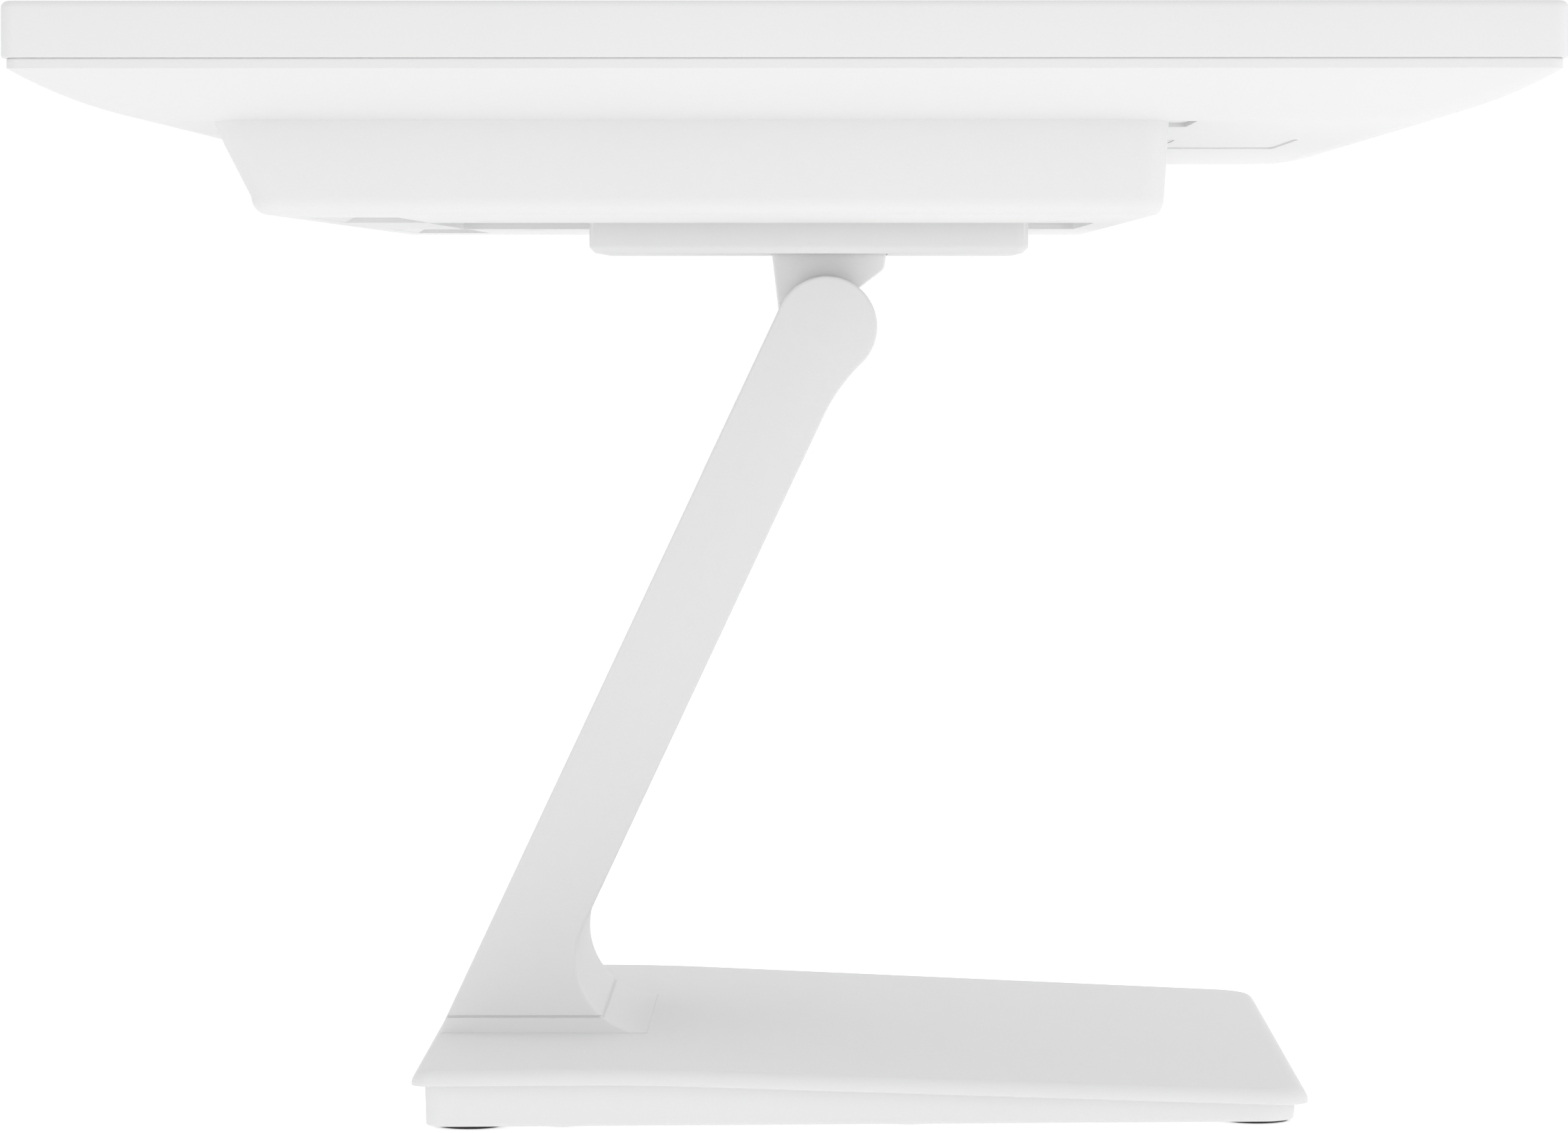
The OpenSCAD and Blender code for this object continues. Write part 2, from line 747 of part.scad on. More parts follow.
// Turns a place (s, t) on the neck into (y, z)
function neck_at(s, t) = [
    hinge_y + s * sin(lean) + t * cos(lean),
    hinge_z - s * cos(lean) + t * sin(lean)
];
// Where the face t reaches a height z
function neck_y(t, z) = hinge_y + (t - (z - hinge_z) * sin(lean)) / cos(lean);

function arc(c, r, a0, a1, n) = [for (i = [0:n]) let (a = a0 + (a1 - a0) * i / n)
    [c[0] + r * cos(a), c[1] + r * sin(a)]];

// Side outline of the neck, shrunk by w, down to the height z
function neck_points(w, z) =
    let (bulge_s = sqrt(pow(knuckle_r + bulge_r, 2) - pow(neck_front_t + bulge_r, 2)))
    let (bulge_c = neck_at(bulge_s, -neck_front_t - bulge_r))
    let (bulge_a = atan2(hinge_z - bulge_c[1], hinge_y - bulge_c[0]))
    let (head_a = bulge_a - 180)
    let (foot_z = z_base_top + foot_r)
    let (foot_c = [neck_y(-neck_front_t - foot_r, foot_z), foot_z])
    let (on_foot = z < foot_z + foot_r * sin(lean))
    let (low = asin(min(1, max(-1, (z - foot_z) / (foot_r + w)))))
    concat(
        [[neck_y(knuckle_r - w, z), z]],
        arc([hinge_y, hinge_z], knuckle_r - w, lean, head_a + 360, 32),
        arc(bulge_c, bulge_r + w, bulge_a, lean, 8),
        on_foot ? arc(foot_c, foot_r + w, lean, low, 14) : [[neck_y(w - neck_front_t, z), z]],
        z < foot_z - foot_r - w ? [[foot_c[0], z]] : []
    );

module neck_housing() {
    color(WHITE) difference() {
        along_x(-neck_x, neck_x) polygon(neck_points(0, z_collar));
        along_x(-neck_x + neck_wall, neck_x - neck_wall) polygon(neck_points(neck_wall, z_collar - 1));
        hinge_bar(-slot_x, slot_x, knuckle_r + 0.4);
        along_x(-neck_x + 6, neck_x - 6) neck_frame() translate([24, knuckle_r - 1.3]) square([165, 3]);
        along_x(-neck_x + 9, neck_x - 9) neck_frame() translate([27, knuckle_r - 4]) square([159, 5]);
    }
    // saddle that closes the neck under the hinge barrel
    color(WHITE) along_x(-slot_x, slot_x) intersection() {
        polygon(neck_points(neck_wall - 0.05, 150));
        translate([hinge_y, hinge_z]) difference() {
            circle(knuckle_r + 2.4);
            circle(knuckle_r + 0.4);
        }
    }
}

module neck_rear_cover() {
    color(WHITE) along_x(-neck_x + 6.15, neck_x - 6.15) neck_frame()
        translate([24.15, knuckle_r - 1.3]) square([164.7, 1.3]);
    color(WHITE) along_x(-neck_x + 9.15, neck_x - 9.15) neck_frame()
        translate([27.15, knuckle_r - 2.5]) square([158.7, 1.3]);
}

// Steel web with two hinge ears above and a foot plate below
module neck_core() {
    z_foot = z_weight + 3;
    color(STEEL) difference() {
        union() {
            both_sides() along_x(ear_x[0], ear_x[1]) {
                translate([hinge_y, hinge_z]) circle(ear_r);
                neck_frame() translate([0, -5.5]) square([70, 12]);
            }
            along_x(-ear_x[1], ear_x[1]) difference() {
                neck_frame() translate([24, -1]) square([200, 3]);
                translate([0, -50]) square([200, 50 + z_weight]);
            }
            box([-40, 40], [46, 88], [z_weight, z_foot]);
            both_sides() along_x(ear_x[0], ear_x[1]) polygon([
                [52, z_foot - eps],
                [neck_y(0, z_foot - eps), z_foot - eps],
                [neck_y(0, 40), 40],
                [neck_y(-3, 40), 40]
            ]);
        }
        both_sides() hinge_bar(ear_x[0] - 1, ear_x[1] + 1, pin_r + running);
        both_sides() for (p = neck_bolt_places) post(p[0], p[1], z_weight - 1, z_foot + 1, 3);
    }
}

module neck_bolts() {
    color(STEEL) both_sides() for (p = neck_bolt_places)
        screw_up(p[0], p[1], z_tray_floor + 0.2, 8, 2.95, 4.8, 2.6);
}

// ---------- base ----------

// Plan of the base, shrunk by w, as a trapezoid with round corners
function base_plan(w) =
    let (xr = base_rear_w / 2 - w)
    let (xf = base_front_w / 2 - w)
    let (rr = 4)
    let (rf = base_corner - w / 2)
    concat(
        arc([xr - rr, base_rear - w - rr], rr, 0, 90, 6),
        arc([-xr + rr, base_rear - w - rr], rr, 90, 180, 6),
        arc([-xf + rf, base_front + w + rf], rf, 180, 270, 8),
        arc([xf - rf, base_front + w + rf], rf, 270, 360, 8)
    );

// Flat slab of the base with its upper edge rounded, shrunk by w
module base_slab(w, z_low) {
    edge = 3.6 - w;
    pile(concat(
        [base_ring(w, z_low)],
        [for (a = [0:22.5:90]) base_ring(w + edge * (1 - cos(a)), z_base_top - w - edge * (1 - sin(a)))]));
}

function base_ring(w, z) = [for (p = base_plan(w)) [p[0], p[1], z]];

// Moves what lies in front of the turning line down, more and more towards the front
module base_bend() {
    intersection() {
        children();
        box([-200, 200], [base_turn, 200], [-20, 60]);
    }
    intersection() {
        multmatrix([[1, 0, 0, 0], [0, 1, 0, 0], [0, base_fall, 1, -base_fall * base_turn]]) children();
        box([-200, 200], [-200, base_turn], [-20, 60]);
    }
}

function cover_z(y) = z_base_top - base_skin - (y < base_turn ? (base_turn - y) * base_fall : 0);

module base_cover() {
    color(WHITE) difference() {
        union() {
            base_bend() base_slab(0, z_base_top - rim_t);
            along_x(-neck_x, neck_x) polygon(neck_points(0, z_base_top - 1));
        }
        base_bend() base_slab(base_skin, z_base_top - rim_t - 3);
        along_x(-neck_x + neck_wall, neck_x - neck_wall) polygon(neck_points(neck_wall, z_base_top - 5));
        box([-200, 200], [-200, 200], [z_collar, 300]);
    }
    color(WHITE) both_sides() for (p = base_screw_places)
        tube(p[0], p[1], z_tray_floor + 2, cover_z(p[1]) + 0.5, 3.5, 1.4);
}

module base_tray() {
    color(WHITE) difference() {
        union() {
            intersection() {
                difference() {
                    translate([0, 0, foot_gap]) linear_extrude(20) polygon(base_plan(tray_inset));
                    translate([0, 0, z_tray_floor]) linear_extrude(20)
                        polygon(base_plan(tray_inset + tray_skin));
                }
                along_x(-200, 200) polygon([
                    [-200, 0], [200, 0], [200, z_base_top - rim_t + 1], [base_turn, z_base_top - rim_t + 1],
                    [-200, z_base_top - rim_t + 1 - base_fall * (base_turn + 200)]
                ]);
            }
            both_sides() for (p = base_screw_places) post(p[0], p[1], z_tray_floor - eps, z_tray_floor + 2, 5);
        }
        both_sides() for (p = base_screw_places) {
            post(p[0], p[1], foot_gap - 1, z_tray_floor + 3, 1.6);
            post(p[0], p[1], foot_gap - 1, foot_gap + 2, 3.2);
        }
        both_sides() for (p = feet) post(p[0], p[1], foot_gap - 1, foot_gap + 0.8, foot_rad + 0.1);
    }
}

module base_screws() {
    color(STEEL) both_sides() for (p = base_screw_places)
        screw_up(p[0], p[1], foot_gap + 0.3, 5.2, 1.35, 3, 1.6);
}

module base_weight() {
    color(STEEL) difference() {
        translate([0, 0, z_tray_floor]) linear_extrude(weight_t)
            polygon([[-96, -95], [96, -95], [108, 88], [-108, 88]]);
        both_sides() for (p = neck_bolt_places) {
            post(p[0], p[1], z_tray_floor - 1, z_weight + 1, 3.1);
            post(p[0], p[1], z_tray_floor - 1, z_tray_floor + 2.9, 5);
        }
    }
}

module rubber_feet() {
    color(BLACK) both_sides() for (p = feet) post(p[0], p[1], 0, foot_gap + 0.8, foot_rad);
}

front_frame();
cover_glass();
glass_gasket();
lcd_cell();
light_guide();
backlight_bar();
panel_tray();
chassis_plate();
rear_cover();
electronics_housing();
port_bay();
port_connectors();
main_board();
board_chips();
heat_sink();
power_board();
power_parts();
speakers();
panel_cable();
standoffs();
control_board();
key_switches();
power_key();
light_key();
zoom_out_key();
zoom_in_key();
mode_key();
camera_window();
camera_housing();
camera_board();
lens_barrel();
lens_glass();
light_boards();
light_leds();
chassis_screws();
housing_screws();
mount_cover();
mount_plate();
mount_screws();
hinge_bracket();
bracket_screws();
hinge_pin();
hinge_nuts();
friction_washers();
spring_washers();
neck_housing();
neck_rear_cover();
neck_core();
neck_bolts();
base_cover();
base_tray();
base_weight();
base_screws();
rubber_feet();
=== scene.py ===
"""Looks of the video magnifier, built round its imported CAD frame.

Metres, +Z up, the reader towards -Y.
"""

import json
import math

import bmesh
import bpy
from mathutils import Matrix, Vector


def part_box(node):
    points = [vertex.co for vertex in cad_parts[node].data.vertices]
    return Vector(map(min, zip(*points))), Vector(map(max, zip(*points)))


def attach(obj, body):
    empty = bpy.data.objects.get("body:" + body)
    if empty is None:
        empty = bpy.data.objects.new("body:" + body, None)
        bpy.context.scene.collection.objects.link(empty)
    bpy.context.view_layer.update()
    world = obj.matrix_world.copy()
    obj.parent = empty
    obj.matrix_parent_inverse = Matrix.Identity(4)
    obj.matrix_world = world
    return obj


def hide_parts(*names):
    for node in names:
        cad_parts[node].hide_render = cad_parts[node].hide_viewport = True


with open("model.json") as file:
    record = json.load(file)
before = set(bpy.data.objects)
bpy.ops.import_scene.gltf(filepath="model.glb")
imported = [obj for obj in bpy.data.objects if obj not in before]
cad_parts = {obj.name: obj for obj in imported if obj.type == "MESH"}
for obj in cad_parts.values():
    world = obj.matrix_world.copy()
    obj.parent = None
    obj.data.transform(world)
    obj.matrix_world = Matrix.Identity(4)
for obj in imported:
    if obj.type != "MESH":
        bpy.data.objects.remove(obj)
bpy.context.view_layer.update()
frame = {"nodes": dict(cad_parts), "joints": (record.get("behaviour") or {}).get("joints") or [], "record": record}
MM = 0.001
ON_AXIS = 0.0002 * MM


# ---------- places, all from the frame ----------

def span(node, axis):
    """Low and high of a node along an axis, 0 to 2."""
    low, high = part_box(node)
    return low[axis], high[axis]


TILT = next(j for j in frame["joints"] if j["name"] == "display_tilt")
HINGE_Y, HINGE_Z = TILT["pos_m"][1], TILT["pos_m"][2]
HEAD_X = span("front_frame", 0)[1]
HEAD_Y = span("front_frame", 1)[1]
Z_SEAM = span("rear_cover", 2)[1] - 2 * MM
Z_TOP = span("front_frame", 2)[1]
Z_DISH = span("electronics_housing", 2)[1]
Z_HOUSING = span("electronics_housing", 2)[0]
GLASS_LOW, GLASS_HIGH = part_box("cover_glass")
Z_GLASS = GLASS_HIGH[2]
Z_LEDGE = span("glass_gasket", 2)[0]
GLASS_Y = (GLASS_LOW[1] + GLASS_HIGH[1]) / 2
KEYS = ("power_key", "light_key", "zoom_out_key", "zoom_in_key", "mode_key")
KEY_FLANGE = 1.4 * MM


def middle(node):
    low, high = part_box(node)
    return [(a + b) / 2 for a, b in zip(low, high)]


# ---------- mesh helpers ----------

def make_object(name, mesh):
    obj = bpy.data.objects.new(name, mesh)
    bpy.context.scene.collection.objects.link(obj)
    return obj


def from_bmesh(name, bm, smooth=35):
    """A bmesh becomes an object, shaded smooth except at edges sharper than this angle."""
    bmesh.ops.remove_doubles(bm, verts=bm.verts, dist=1e-7)
    bmesh.ops.recalc_face_normals(bm, faces=bm.faces)
    mesh = bpy.data.meshes.new(name)
    bm.to_mesh(mesh)
    bm.free()
    obj = make_object(name, mesh)
    shade(obj, smooth)
    return obj


def shade(obj, angle):
    mesh = obj.data
    mesh.shade_smooth()
    mesh.set_sharp_from_angle(angle=math.radians(angle))


def bridge(bm, rings, closed=False, ends=(True, True)):
    """Quads between rings of equal counts. ends says which of the first and last ring get a cap."""
    made = [[bm.verts.new(p) for p in r] for r in rings]
    count = len(made[0])
    pairs = list(zip(made, made[1:]))
    if closed:
        pairs.append((made[-1], made[0]))
    for low, high in pairs:
        for i in range(count):
            k = (i + 1) % count
            bm.faces.new((low[i], low[k], high[k], high[i]))
    if not closed and ends[0]:
        bm.faces.new(list(reversed(made[0])))
    if not closed and ends[1]:
        bm.faces.new(made[-1])
    return made


def loft(name, rings, closed=False, ends=(True, True), smooth=35):
    bm = bmesh.new()
    bridge(bm, rings, closed, ends)
    return from_bmesh(name, bm, smooth)


def join(name, objects):
    """One object out of several."""
    bm = bmesh.new()
    for obj in objects:
        bm.from_mesh(obj.data)
        bpy.data.objects.remove(obj)
    mesh = bpy.data.meshes.new(name)
    bm.to_mesh(mesh)
    bm.free()
    return make_object(name, mesh)


def settle(obj, smooth):
    """Applies an object's modifiers to its mesh and shades it."""
    graph = bpy.context.evaluated_depsgraph_get()
    mesh = bpy.data.meshes.new_from_object(obj.evaluated_get(graph))
    obj.modifiers.clear()
    obj.data = mesh
    shade(obj, smooth)
    return obj


def combine(obj, tool, operation, smooth):
    """Exact boolean of obj with a tool, which is deleted."""
    mod = obj.modifiers.new("combine", "BOOLEAN")
    mod.operation = operation
    mod.solver = "EXACT"
    mod.object = tool
    settle(obj, smooth)
    bpy.data.objects.remove(tool)
    return obj


def carve(obj, cutters, smooth=35):
    return combine(obj, join("cutter", cutters), "DIFFERENCE", smooth)


def unite(obj, other, smooth=35):
    return combine(obj, other, "UNION", smooth)


def bevel(obj, width, segments=4, angle=30, smooth=35):
    """Rounds the sharp edges of a simple solid."""
    mod = obj.modifiers.new("round", "BEVEL")
    mod.width = width
    mod.segments = segments
    mod.limit_method = "ANGLE"
    mod.angle_limit = math.radians(angle)
    mod.use_clamp_overlap = True
    return settle(obj, smooth)


def rounding(r, steps=6):
    """(inset, drop) pairs over a quarter round of radius r, from the side to the top."""
    for i in range(steps + 1):
        a = math.pi / 2 * i / steps
        yield r * (1 - math.cos(a)), r * (1 - math.sin(a))


def arc(centre, r, start, end, steps):
    points = []
    for i in range(steps + 1):
        a = start + (end - start) * i / steps
        points.append((centre[0] + r * math.cos(a), centre[1] + r * math.sin(a)))
    return points


def rect_ring(x0, x1, y0, y1, r, z, steps=8):
    """Rounded rectangle at height z."""
    r = max(r, 0.05 * MM)
    points = []
    corners = ((x1 - r, y1 - r), (x0 + r, y1 - r), (x0 + r, y0 + r), (x1 - r, y0 + r))
    for k, (cx, cy) in enumerate(corners):
        for i in range(steps + 1):
            a = math.pi / 2 * (k + i / steps)
            points.append((cx + r * math.cos(a), cy + r * math.sin(a), z))
    return points


def slab(name, x, y, z, r, edge=0.0, low_edge=0.0):
    """Rounded rectangular plate with quarter-round upper and lower edges."""

    def ring(inset, height):
        return rect_ring(x[0] + inset, x[1] - inset, y[0] + inset, y[1] - inset, r - inset, height)

    rings = [ring(inset, z[0] + drop) for inset, drop in reversed(list(rounding(low_edge, 4)))]
    rings += [ring(inset, z[1] - drop) for inset, drop in rounding(edge, 4)]
    return loft(name, rings)


def turned(name, profile, centre, axis="z", count=64):
    """Solid of revolution. profile is (radius, height) pairs from the axis round to the axis."""
    bm = bmesh.new()
    rings = []
    for r, h in profile:
        ring = []
        for i in range(count):
            a = 2 * math.pi * i / count
            u, v = r * math.cos(a), r * math.sin(a)
            p = {"z": (u, v, h), "x": (h, u, v), "y": (v, h, u)}[axis]
            ring.append(tuple(c + d for c, d in zip(centre, p)))
        rings.append(ring)
    bridge(bm, rings)
    return from_bmesh(name, bm)


def across_x(name, outline, reach, edge, steps=5):
    """Extrudes an outline along X, as far to one side as to the other.

    outline(inset) gives its (y, z) points, and edge rounds the two long edges by shrinking it.
    """
    rings = []
    for inset, drop in reversed(list(rounding(edge, steps))):
        rings.append([(drop - reach, y, z) for y, z in outline(inset)])
    for inset, drop in rounding(edge, steps):
        rings.append([(reach - drop, y, z) for y, z in outline(inset)])
    return loft(name, rings)


# ---------- materials ----------

class Shader:
    """A Principled material whose colour, roughness and bump are built from nodes."""

    def __init__(self, name):
        self.material = bpy.data.materials.new(name)
        self.material.use_nodes = True
        self.tree = self.material.node_tree
        self.tree.nodes.clear()
        self.out = self.tree.nodes.new("ShaderNodeOutputMaterial")
        self.bsdf = self.tree.nodes.new("ShaderNodeBsdfPrincipled")
        self.link(self.bsdf.outputs[0], self.out.inputs[0])
        self.coords = self.tree.nodes.new("ShaderNodeTexCoord").outputs["Object"]

    def link(self, a, b):
        self.tree.links.new(a, b)

    def node(self, kind, values=None, **props):
        n = self.tree.nodes.new(kind)
        for k, v in props.items():
            setattr(n, k, v)
        for k, v in (values or {}).items():
            if isinstance(v, bpy.types.NodeSocket):
                self.link(v, n.inputs[k])
            else:
                n.inputs[k].default_value = v
        return n

    def set(self, **values):
        for k, v in values.items():
            self.bsdf.inputs[k.replace("_", " ")].default_value = v
        return self

    def noise(self, scale, detail=3.0, rough=0.55, coords=None):
        return self.node("ShaderNodeTexNoise", {"Vector": coords or self.coords, "Scale": scale,
                                                "Detail": detail, "Roughness": rough}).outputs["Fac"]

    def remap(self, value, low, high, to_low, to_high):
        return self.node("ShaderNodeMapRange", {"Value": value, "From Min": low, "From Max": high,
                                                "To Min": to_low, "To Max": to_high}).outputs["Result"]

    def math(self, operation, a, b=0.0, clamp=False):
        return self.node("ShaderNodeMath", {0: a, 1: b}, operation=operation, use_clamp=clamp).outputs[0]

    def mix(self, factor, a, b):
        n = self.node("ShaderNodeMix", data_type="RGBA")
        for socket, value in ((n.inputs[0], factor), (n.inputs[6], a), (n.inputs[7], b)):
            if isinstance(value, bpy.types.NodeSocket):
                self.link(value, socket)
            else:
                socket.default_value = value
        return n.outputs[2]

    def edges(self, radius, gain=6.0):
        """0 on flat stretches and up to 1 along edges, from how far a rounded normal departs."""
        soft = self.node("ShaderNodeBevel", {"Radius": radius}, samples=6).outputs[0]
        flat = self.node("ShaderNodeNewGeometry").outputs["Normal"]
        dot = self.node("ShaderNodeVectorMath", {0: soft, 1: flat}, operation="DOT_PRODUCT")
        away = self.math("SUBTRACT", 1.0, dot.outputs["Value"])
        return self.math("MULTIPLY", away, gain, clamp=True)

    def bump(self, heights, normal=None):
        """heights is a list of (value, strength, distance in metres), each laid on the one before."""
        for value, strength, distance in heights:
            values = {"Height": value, "Strength": strength, "Distance": distance}
            if normal:
                values["Normal"] = normal
            normal = self.node("ShaderNodeBump", values).outputs[0]
        self.link(normal, self.bsdf.inputs["Normal"])

    def colour(self, value):
        self.link(value, self.bsdf.inputs["Base Color"])

    def roughness(self, value):
        self.link(value, self.bsdf.inputs["Roughness"])


def grey(v, warm=0.0):
    return (v + warm, v, v - warm, 1.0)


def moulded(name, tone, rough, grain=1.0, edge_highlight=0.03, warm=0.0, gloss=0.5):
    """Injection moulded plastic: spark-eroded grain, faint flow clouding, lightly polished edges and a painted
    highlight that lightens their colour.
    """
    s = Shader(name)
    fine = s.noise(5200.0, 2.0, 0.6)
    cells = s.node("ShaderNodeTexVoronoi", {"Vector": s.coords, "Scale": 2600.0}).outputs["Distance"]
    cloud = s.noise(9.0, 4.0, 0.6)
    dust = s.remap(s.noise(420.0, 5.0, 0.7), 0.62, 0.82, 0.0, 1.0)
    edge = s.edges(0.5 * MM)
    base = s.mix(cloud, grey(tone * 0.975, warm), grey(min(1.0, tone * 1.015), warm))
    base = s.mix(s.math("MULTIPLY", dust, 0.10), base, grey(tone * 0.86, warm * 2))
    # Painted highlight: the colour is lightened along the edges.
    base = s.mix(s.math("MULTIPLY", edge, edge_highlight * 4), base, grey(min(1.0, tone * 1.08), warm))
    s.colour(base)
    matt = s.remap(s.math("ADD", s.math("MULTIPLY", fine, 0.5), s.math("MULTIPLY", cloud, 0.5)),
                   0.3, 0.7, rough - 0.05, rough + 0.06)
    s.roughness(s.math("SUBTRACT", matt, s.math("MULTIPLY", edge, 0.10)))
    soft = s.node("ShaderNodeBevel", {"Radius": 0.25 * MM}, samples=4).outputs[0]
    heights = [(cells, 0.16 * grain, 0.04 * MM), (fine, 0.20 * grain, 0.03 * MM), (cloud, 0.03, 0.4 * MM)]
    s.bump(heights, soft)
    return s.set(IOR=1.49, Specular_IOR_Level=gloss).material


def screen_glass():
    """Front glass over a dark panel: black printed border, slightly bluer lit area, faint smears."""
    s = Shader("screen_glass")
    half_w = (span("lcd_cell", 0)[1] - span("lcd_cell", 0)[0]) / 2 - 4 * MM
    half_d = (span("lcd_cell", 1)[1] - span("lcd_cell", 1)[0]) / 2 - 4.25 * MM
    xyz = s.node("ShaderNodeSeparateXYZ", {0: s.coords})
    x = s.math("ABSOLUTE", xyz.outputs[0])
    y = s.math("ABSOLUTE", s.math("SUBTRACT", xyz.outputs[1], GLASS_Y))
    inside = s.math("MULTIPLY", s.math("LESS_THAN", x, half_w), s.math("LESS_THAN", y, half_d))
    dots = s.node("ShaderNodeTexVoronoi", {"Vector": s.coords, "Scale": 1800.0}).outputs["Distance"]
    lit = s.mix(s.math("MULTIPLY", dots, 0.6), (0.010, 0.012, 0.016, 1), (0.016, 0.018, 0.024, 1))
    s.colour(s.mix(inside, (0.0035, 0.0035, 0.004, 1), lit))
    smear = s.remap(s.noise(14.0, 5.0, 0.65), 0.45, 0.75, 0.0, 1.0)
    matt = s.math("ADD", smear, s.math("MULTIPLY", s.noise(900.0), 0.2))
    s.roughness(s.remap(matt, 0.0, 1.2, 0.055, 0.16))
    s.bump([(s.noise(60.0, 2.0), 0.02, 0.05 * MM)])
    return s.set(IOR=1.52, Coat_Weight=0.35, Coat_Roughness=0.04).material


def smoked_glass():
    """Dark window in front of the camera and its lamps."""
    s = Shader("smoked_glass")
    cloud = s.noise(120.0, 3.0)
    s.colour(s.mix(cloud, (0.10, 0.105, 0.11, 1), (0.14, 0.145, 0.15, 1)))
    s.roughness(s.remap(cloud, 0.3, 0.7, 0.03, 0.09))
    s.bump([(cloud, 0.02, 0.05 * MM)])
    return s.set(IOR=1.5, Transmission_Weight=0.85).material


def lens_coating():
    """Coated lens, with the green and violet cast of its layers."""
    s = Shader("lens_coating")
    swirl = s.remap(s.noise(300.0, 2.0), 0.3, 0.7, 0.0, 1.0)
    s.colour(s.mix(swirl, (0.02, 0.09, 0.05, 1), (0.16, 0.05, 0.22, 1)))
    s.roughness(s.remap(s.noise(800.0), 0.3, 0.7, 0.02, 0.05))
    return s.set(IOR=1.6, Coat_Weight=1.0, Coat_Roughness=0.02, Specular_IOR_Level=0.8).material


def metal(name, tone, rough, brushed=(1.0, 60.0, 60.0), spots=0.0, warm=0.0):
    """Sheet or turned metal with a fine directional brushing and plating bloom."""
    s = Shader(name)
    stretch = s.node("ShaderNodeMapping", {"Vector": s.coords, "Scale": brushed}).outputs[0]
    lines = s.noise(160.0, 5.0, 0.7, stretch)
    bloom = s.noise(60.0, 4.0, 0.6)
    edge = s.edges(0.3 * MM)
    base = s.mix(bloom, grey(tone * 0.86, warm), grey(min(1.0, tone * 1.08), warm))
    spot = s.math("MULTIPLY", s.remap(bloom, 0.58, 0.7, 0.0, 1.0), spots)
    base = s.mix(spot, base, grey(tone * 0.6, warm))
    # Painted highlight: the colour is lightened along the edges.
    s.colour(s.mix(s.math("MULTIPLY", edge, 0.5), base, grey(min(1.0, tone * 1.25))))
    matt = s.math("ADD", lines, s.math("MULTIPLY", bloom, 0.4))
    s.roughness(s.remap(matt, 0.4, 1.0, rough - 0.08, rough + 0.1))
    soft = s.node("ShaderNodeBevel", {"Radius": 0.15 * MM}, samples=4).outputs[0]
    s.bump([(lines, 0.25, 0.02 * MM)], soft)
    return s.set(Metallic=1.0).material


def painted(name, tone, rough, grain, metallic=0.0):
    """Powder coat: orange-peel over a fine texture, with a painted highlight lightening the edges."""
    s = Shader(name)
    peel = s.noise(900.0, 2.0, 0.5)
    fine = s.noise(3800.0, 3.0, 0.6)
    cloud = s.noise(24.0, 3.0)
    flakes = s.node("ShaderNodeTexVoronoi", {"Vector": s.coords, "Scale": 6000.0}).outputs["Distance"]
    edge = s.edges(0.4 * MM)
    base = s.mix(cloud, grey(tone * 0.95), grey(tone * 1.04))
    base = s.mix(s.math("MULTIPLY", flakes, 0.25), base, grey(min(1.0, tone * 1.3)))
    # Painted highlight: the colour is lightened along the edges.
    s.colour(s.mix(s.math("MULTIPLY", edge, 0.35), base, grey(min(1.0, tone * 1.35))))
    s.roughness(s.remap(s.math("ADD", peel, fine), 0.7, 1.3, rough - 0.06, rough + 0.06))
    soft = s.node("ShaderNodeBevel", {"Radius": 0.3 * MM}, samples=4).outputs[0]
    s.bump([(peel, 0.25 * grain, 0.06 * MM), (fine, 0.3 * grain, 0.03 * MM)], soft)
    return s.set(Metallic=metallic, IOR=1.5).material


def rubber():
    """Moulded rubber with a dusty bloom."""
    s = Shader("rubber")
    fine = s.noise(3000.0, 3.0, 0.6)
    bloom = s.noise(90.0, 4.0, 0.65)
    base = s.mix(bloom, (0.012, 0.012, 0.012, 1), (0.035, 0.034, 0.033, 1))
    # Painted highlight: the colour is lightened along the edges.
    s.colour(s.mix(s.math("MULTIPLY", s.edges(0.5 * MM), 0.3), base, (0.07, 0.07, 0.068, 1)))
    s.roughness(s.remap(bloom, 0.3, 0.7, 0.68, 0.86))
    s.bump([(fine, 0.35, 0.05 * MM)])
    return s.set(IOR=1.5).material


def circuit_board():
    """Solder resist over copper tracks, with a scatter of pads."""
    s = Shader("circuit_board")
    flat = s.node("ShaderNodeMapping", {"Vector": s.coords, "Scale": (1.0, 1.0, 0.0)}).outputs[0]
    tracks = s.node("ShaderNodeTexBrick", {"Vector": flat, "Scale": 260.0, "Mortar Size": 0.06,
                                           "Color1": (0, 0, 0, 1), "Color2": (0, 0, 0, 1),
                                           "Mortar": (1, 1, 1, 1)}).outputs["Color"]
    pads = s.node("ShaderNodeTexVoronoi", {"Vector": flat, "Scale": 420.0}).outputs["Distance"]
    pad = s.math("LESS_THAN", pads, 0.16)
    resist = s.mix(s.noise(40.0), (0.012, 0.085, 0.035, 1), (0.018, 0.115, 0.05, 1))
    base = s.mix(tracks, resist, (0.03, 0.19, 0.08, 1))
    s.colour(s.mix(pad, base, (0.55, 0.50, 0.36, 1)))
    s.roughness(s.remap(s.math("ADD", tracks, s.noise(500.0)), 0.2, 1.4, 0.28, 0.5))
    s.bump([(tracks, 0.3, 0.03 * MM), (pad, 0.3, 0.03 * MM)])
    return s.set(IOR=1.55).material


def foam():
    s = Shader("foam")
    cells = s.node("ShaderNodeTexVoronoi", {"Vector": s.coords, "Scale": 2400.0}).outputs["Distance"]
    s.colour(s.mix(cells, (0.012, 0.012, 0.013, 1), (0.05, 0.05, 0.052, 1)))
    s.roughness(s.remap(cells, 0.0, 0.8, 0.85, 0.98))
    s.bump([(cells, 0.6, 0.15 * MM)])
    return s.set(IOR=1.4).material


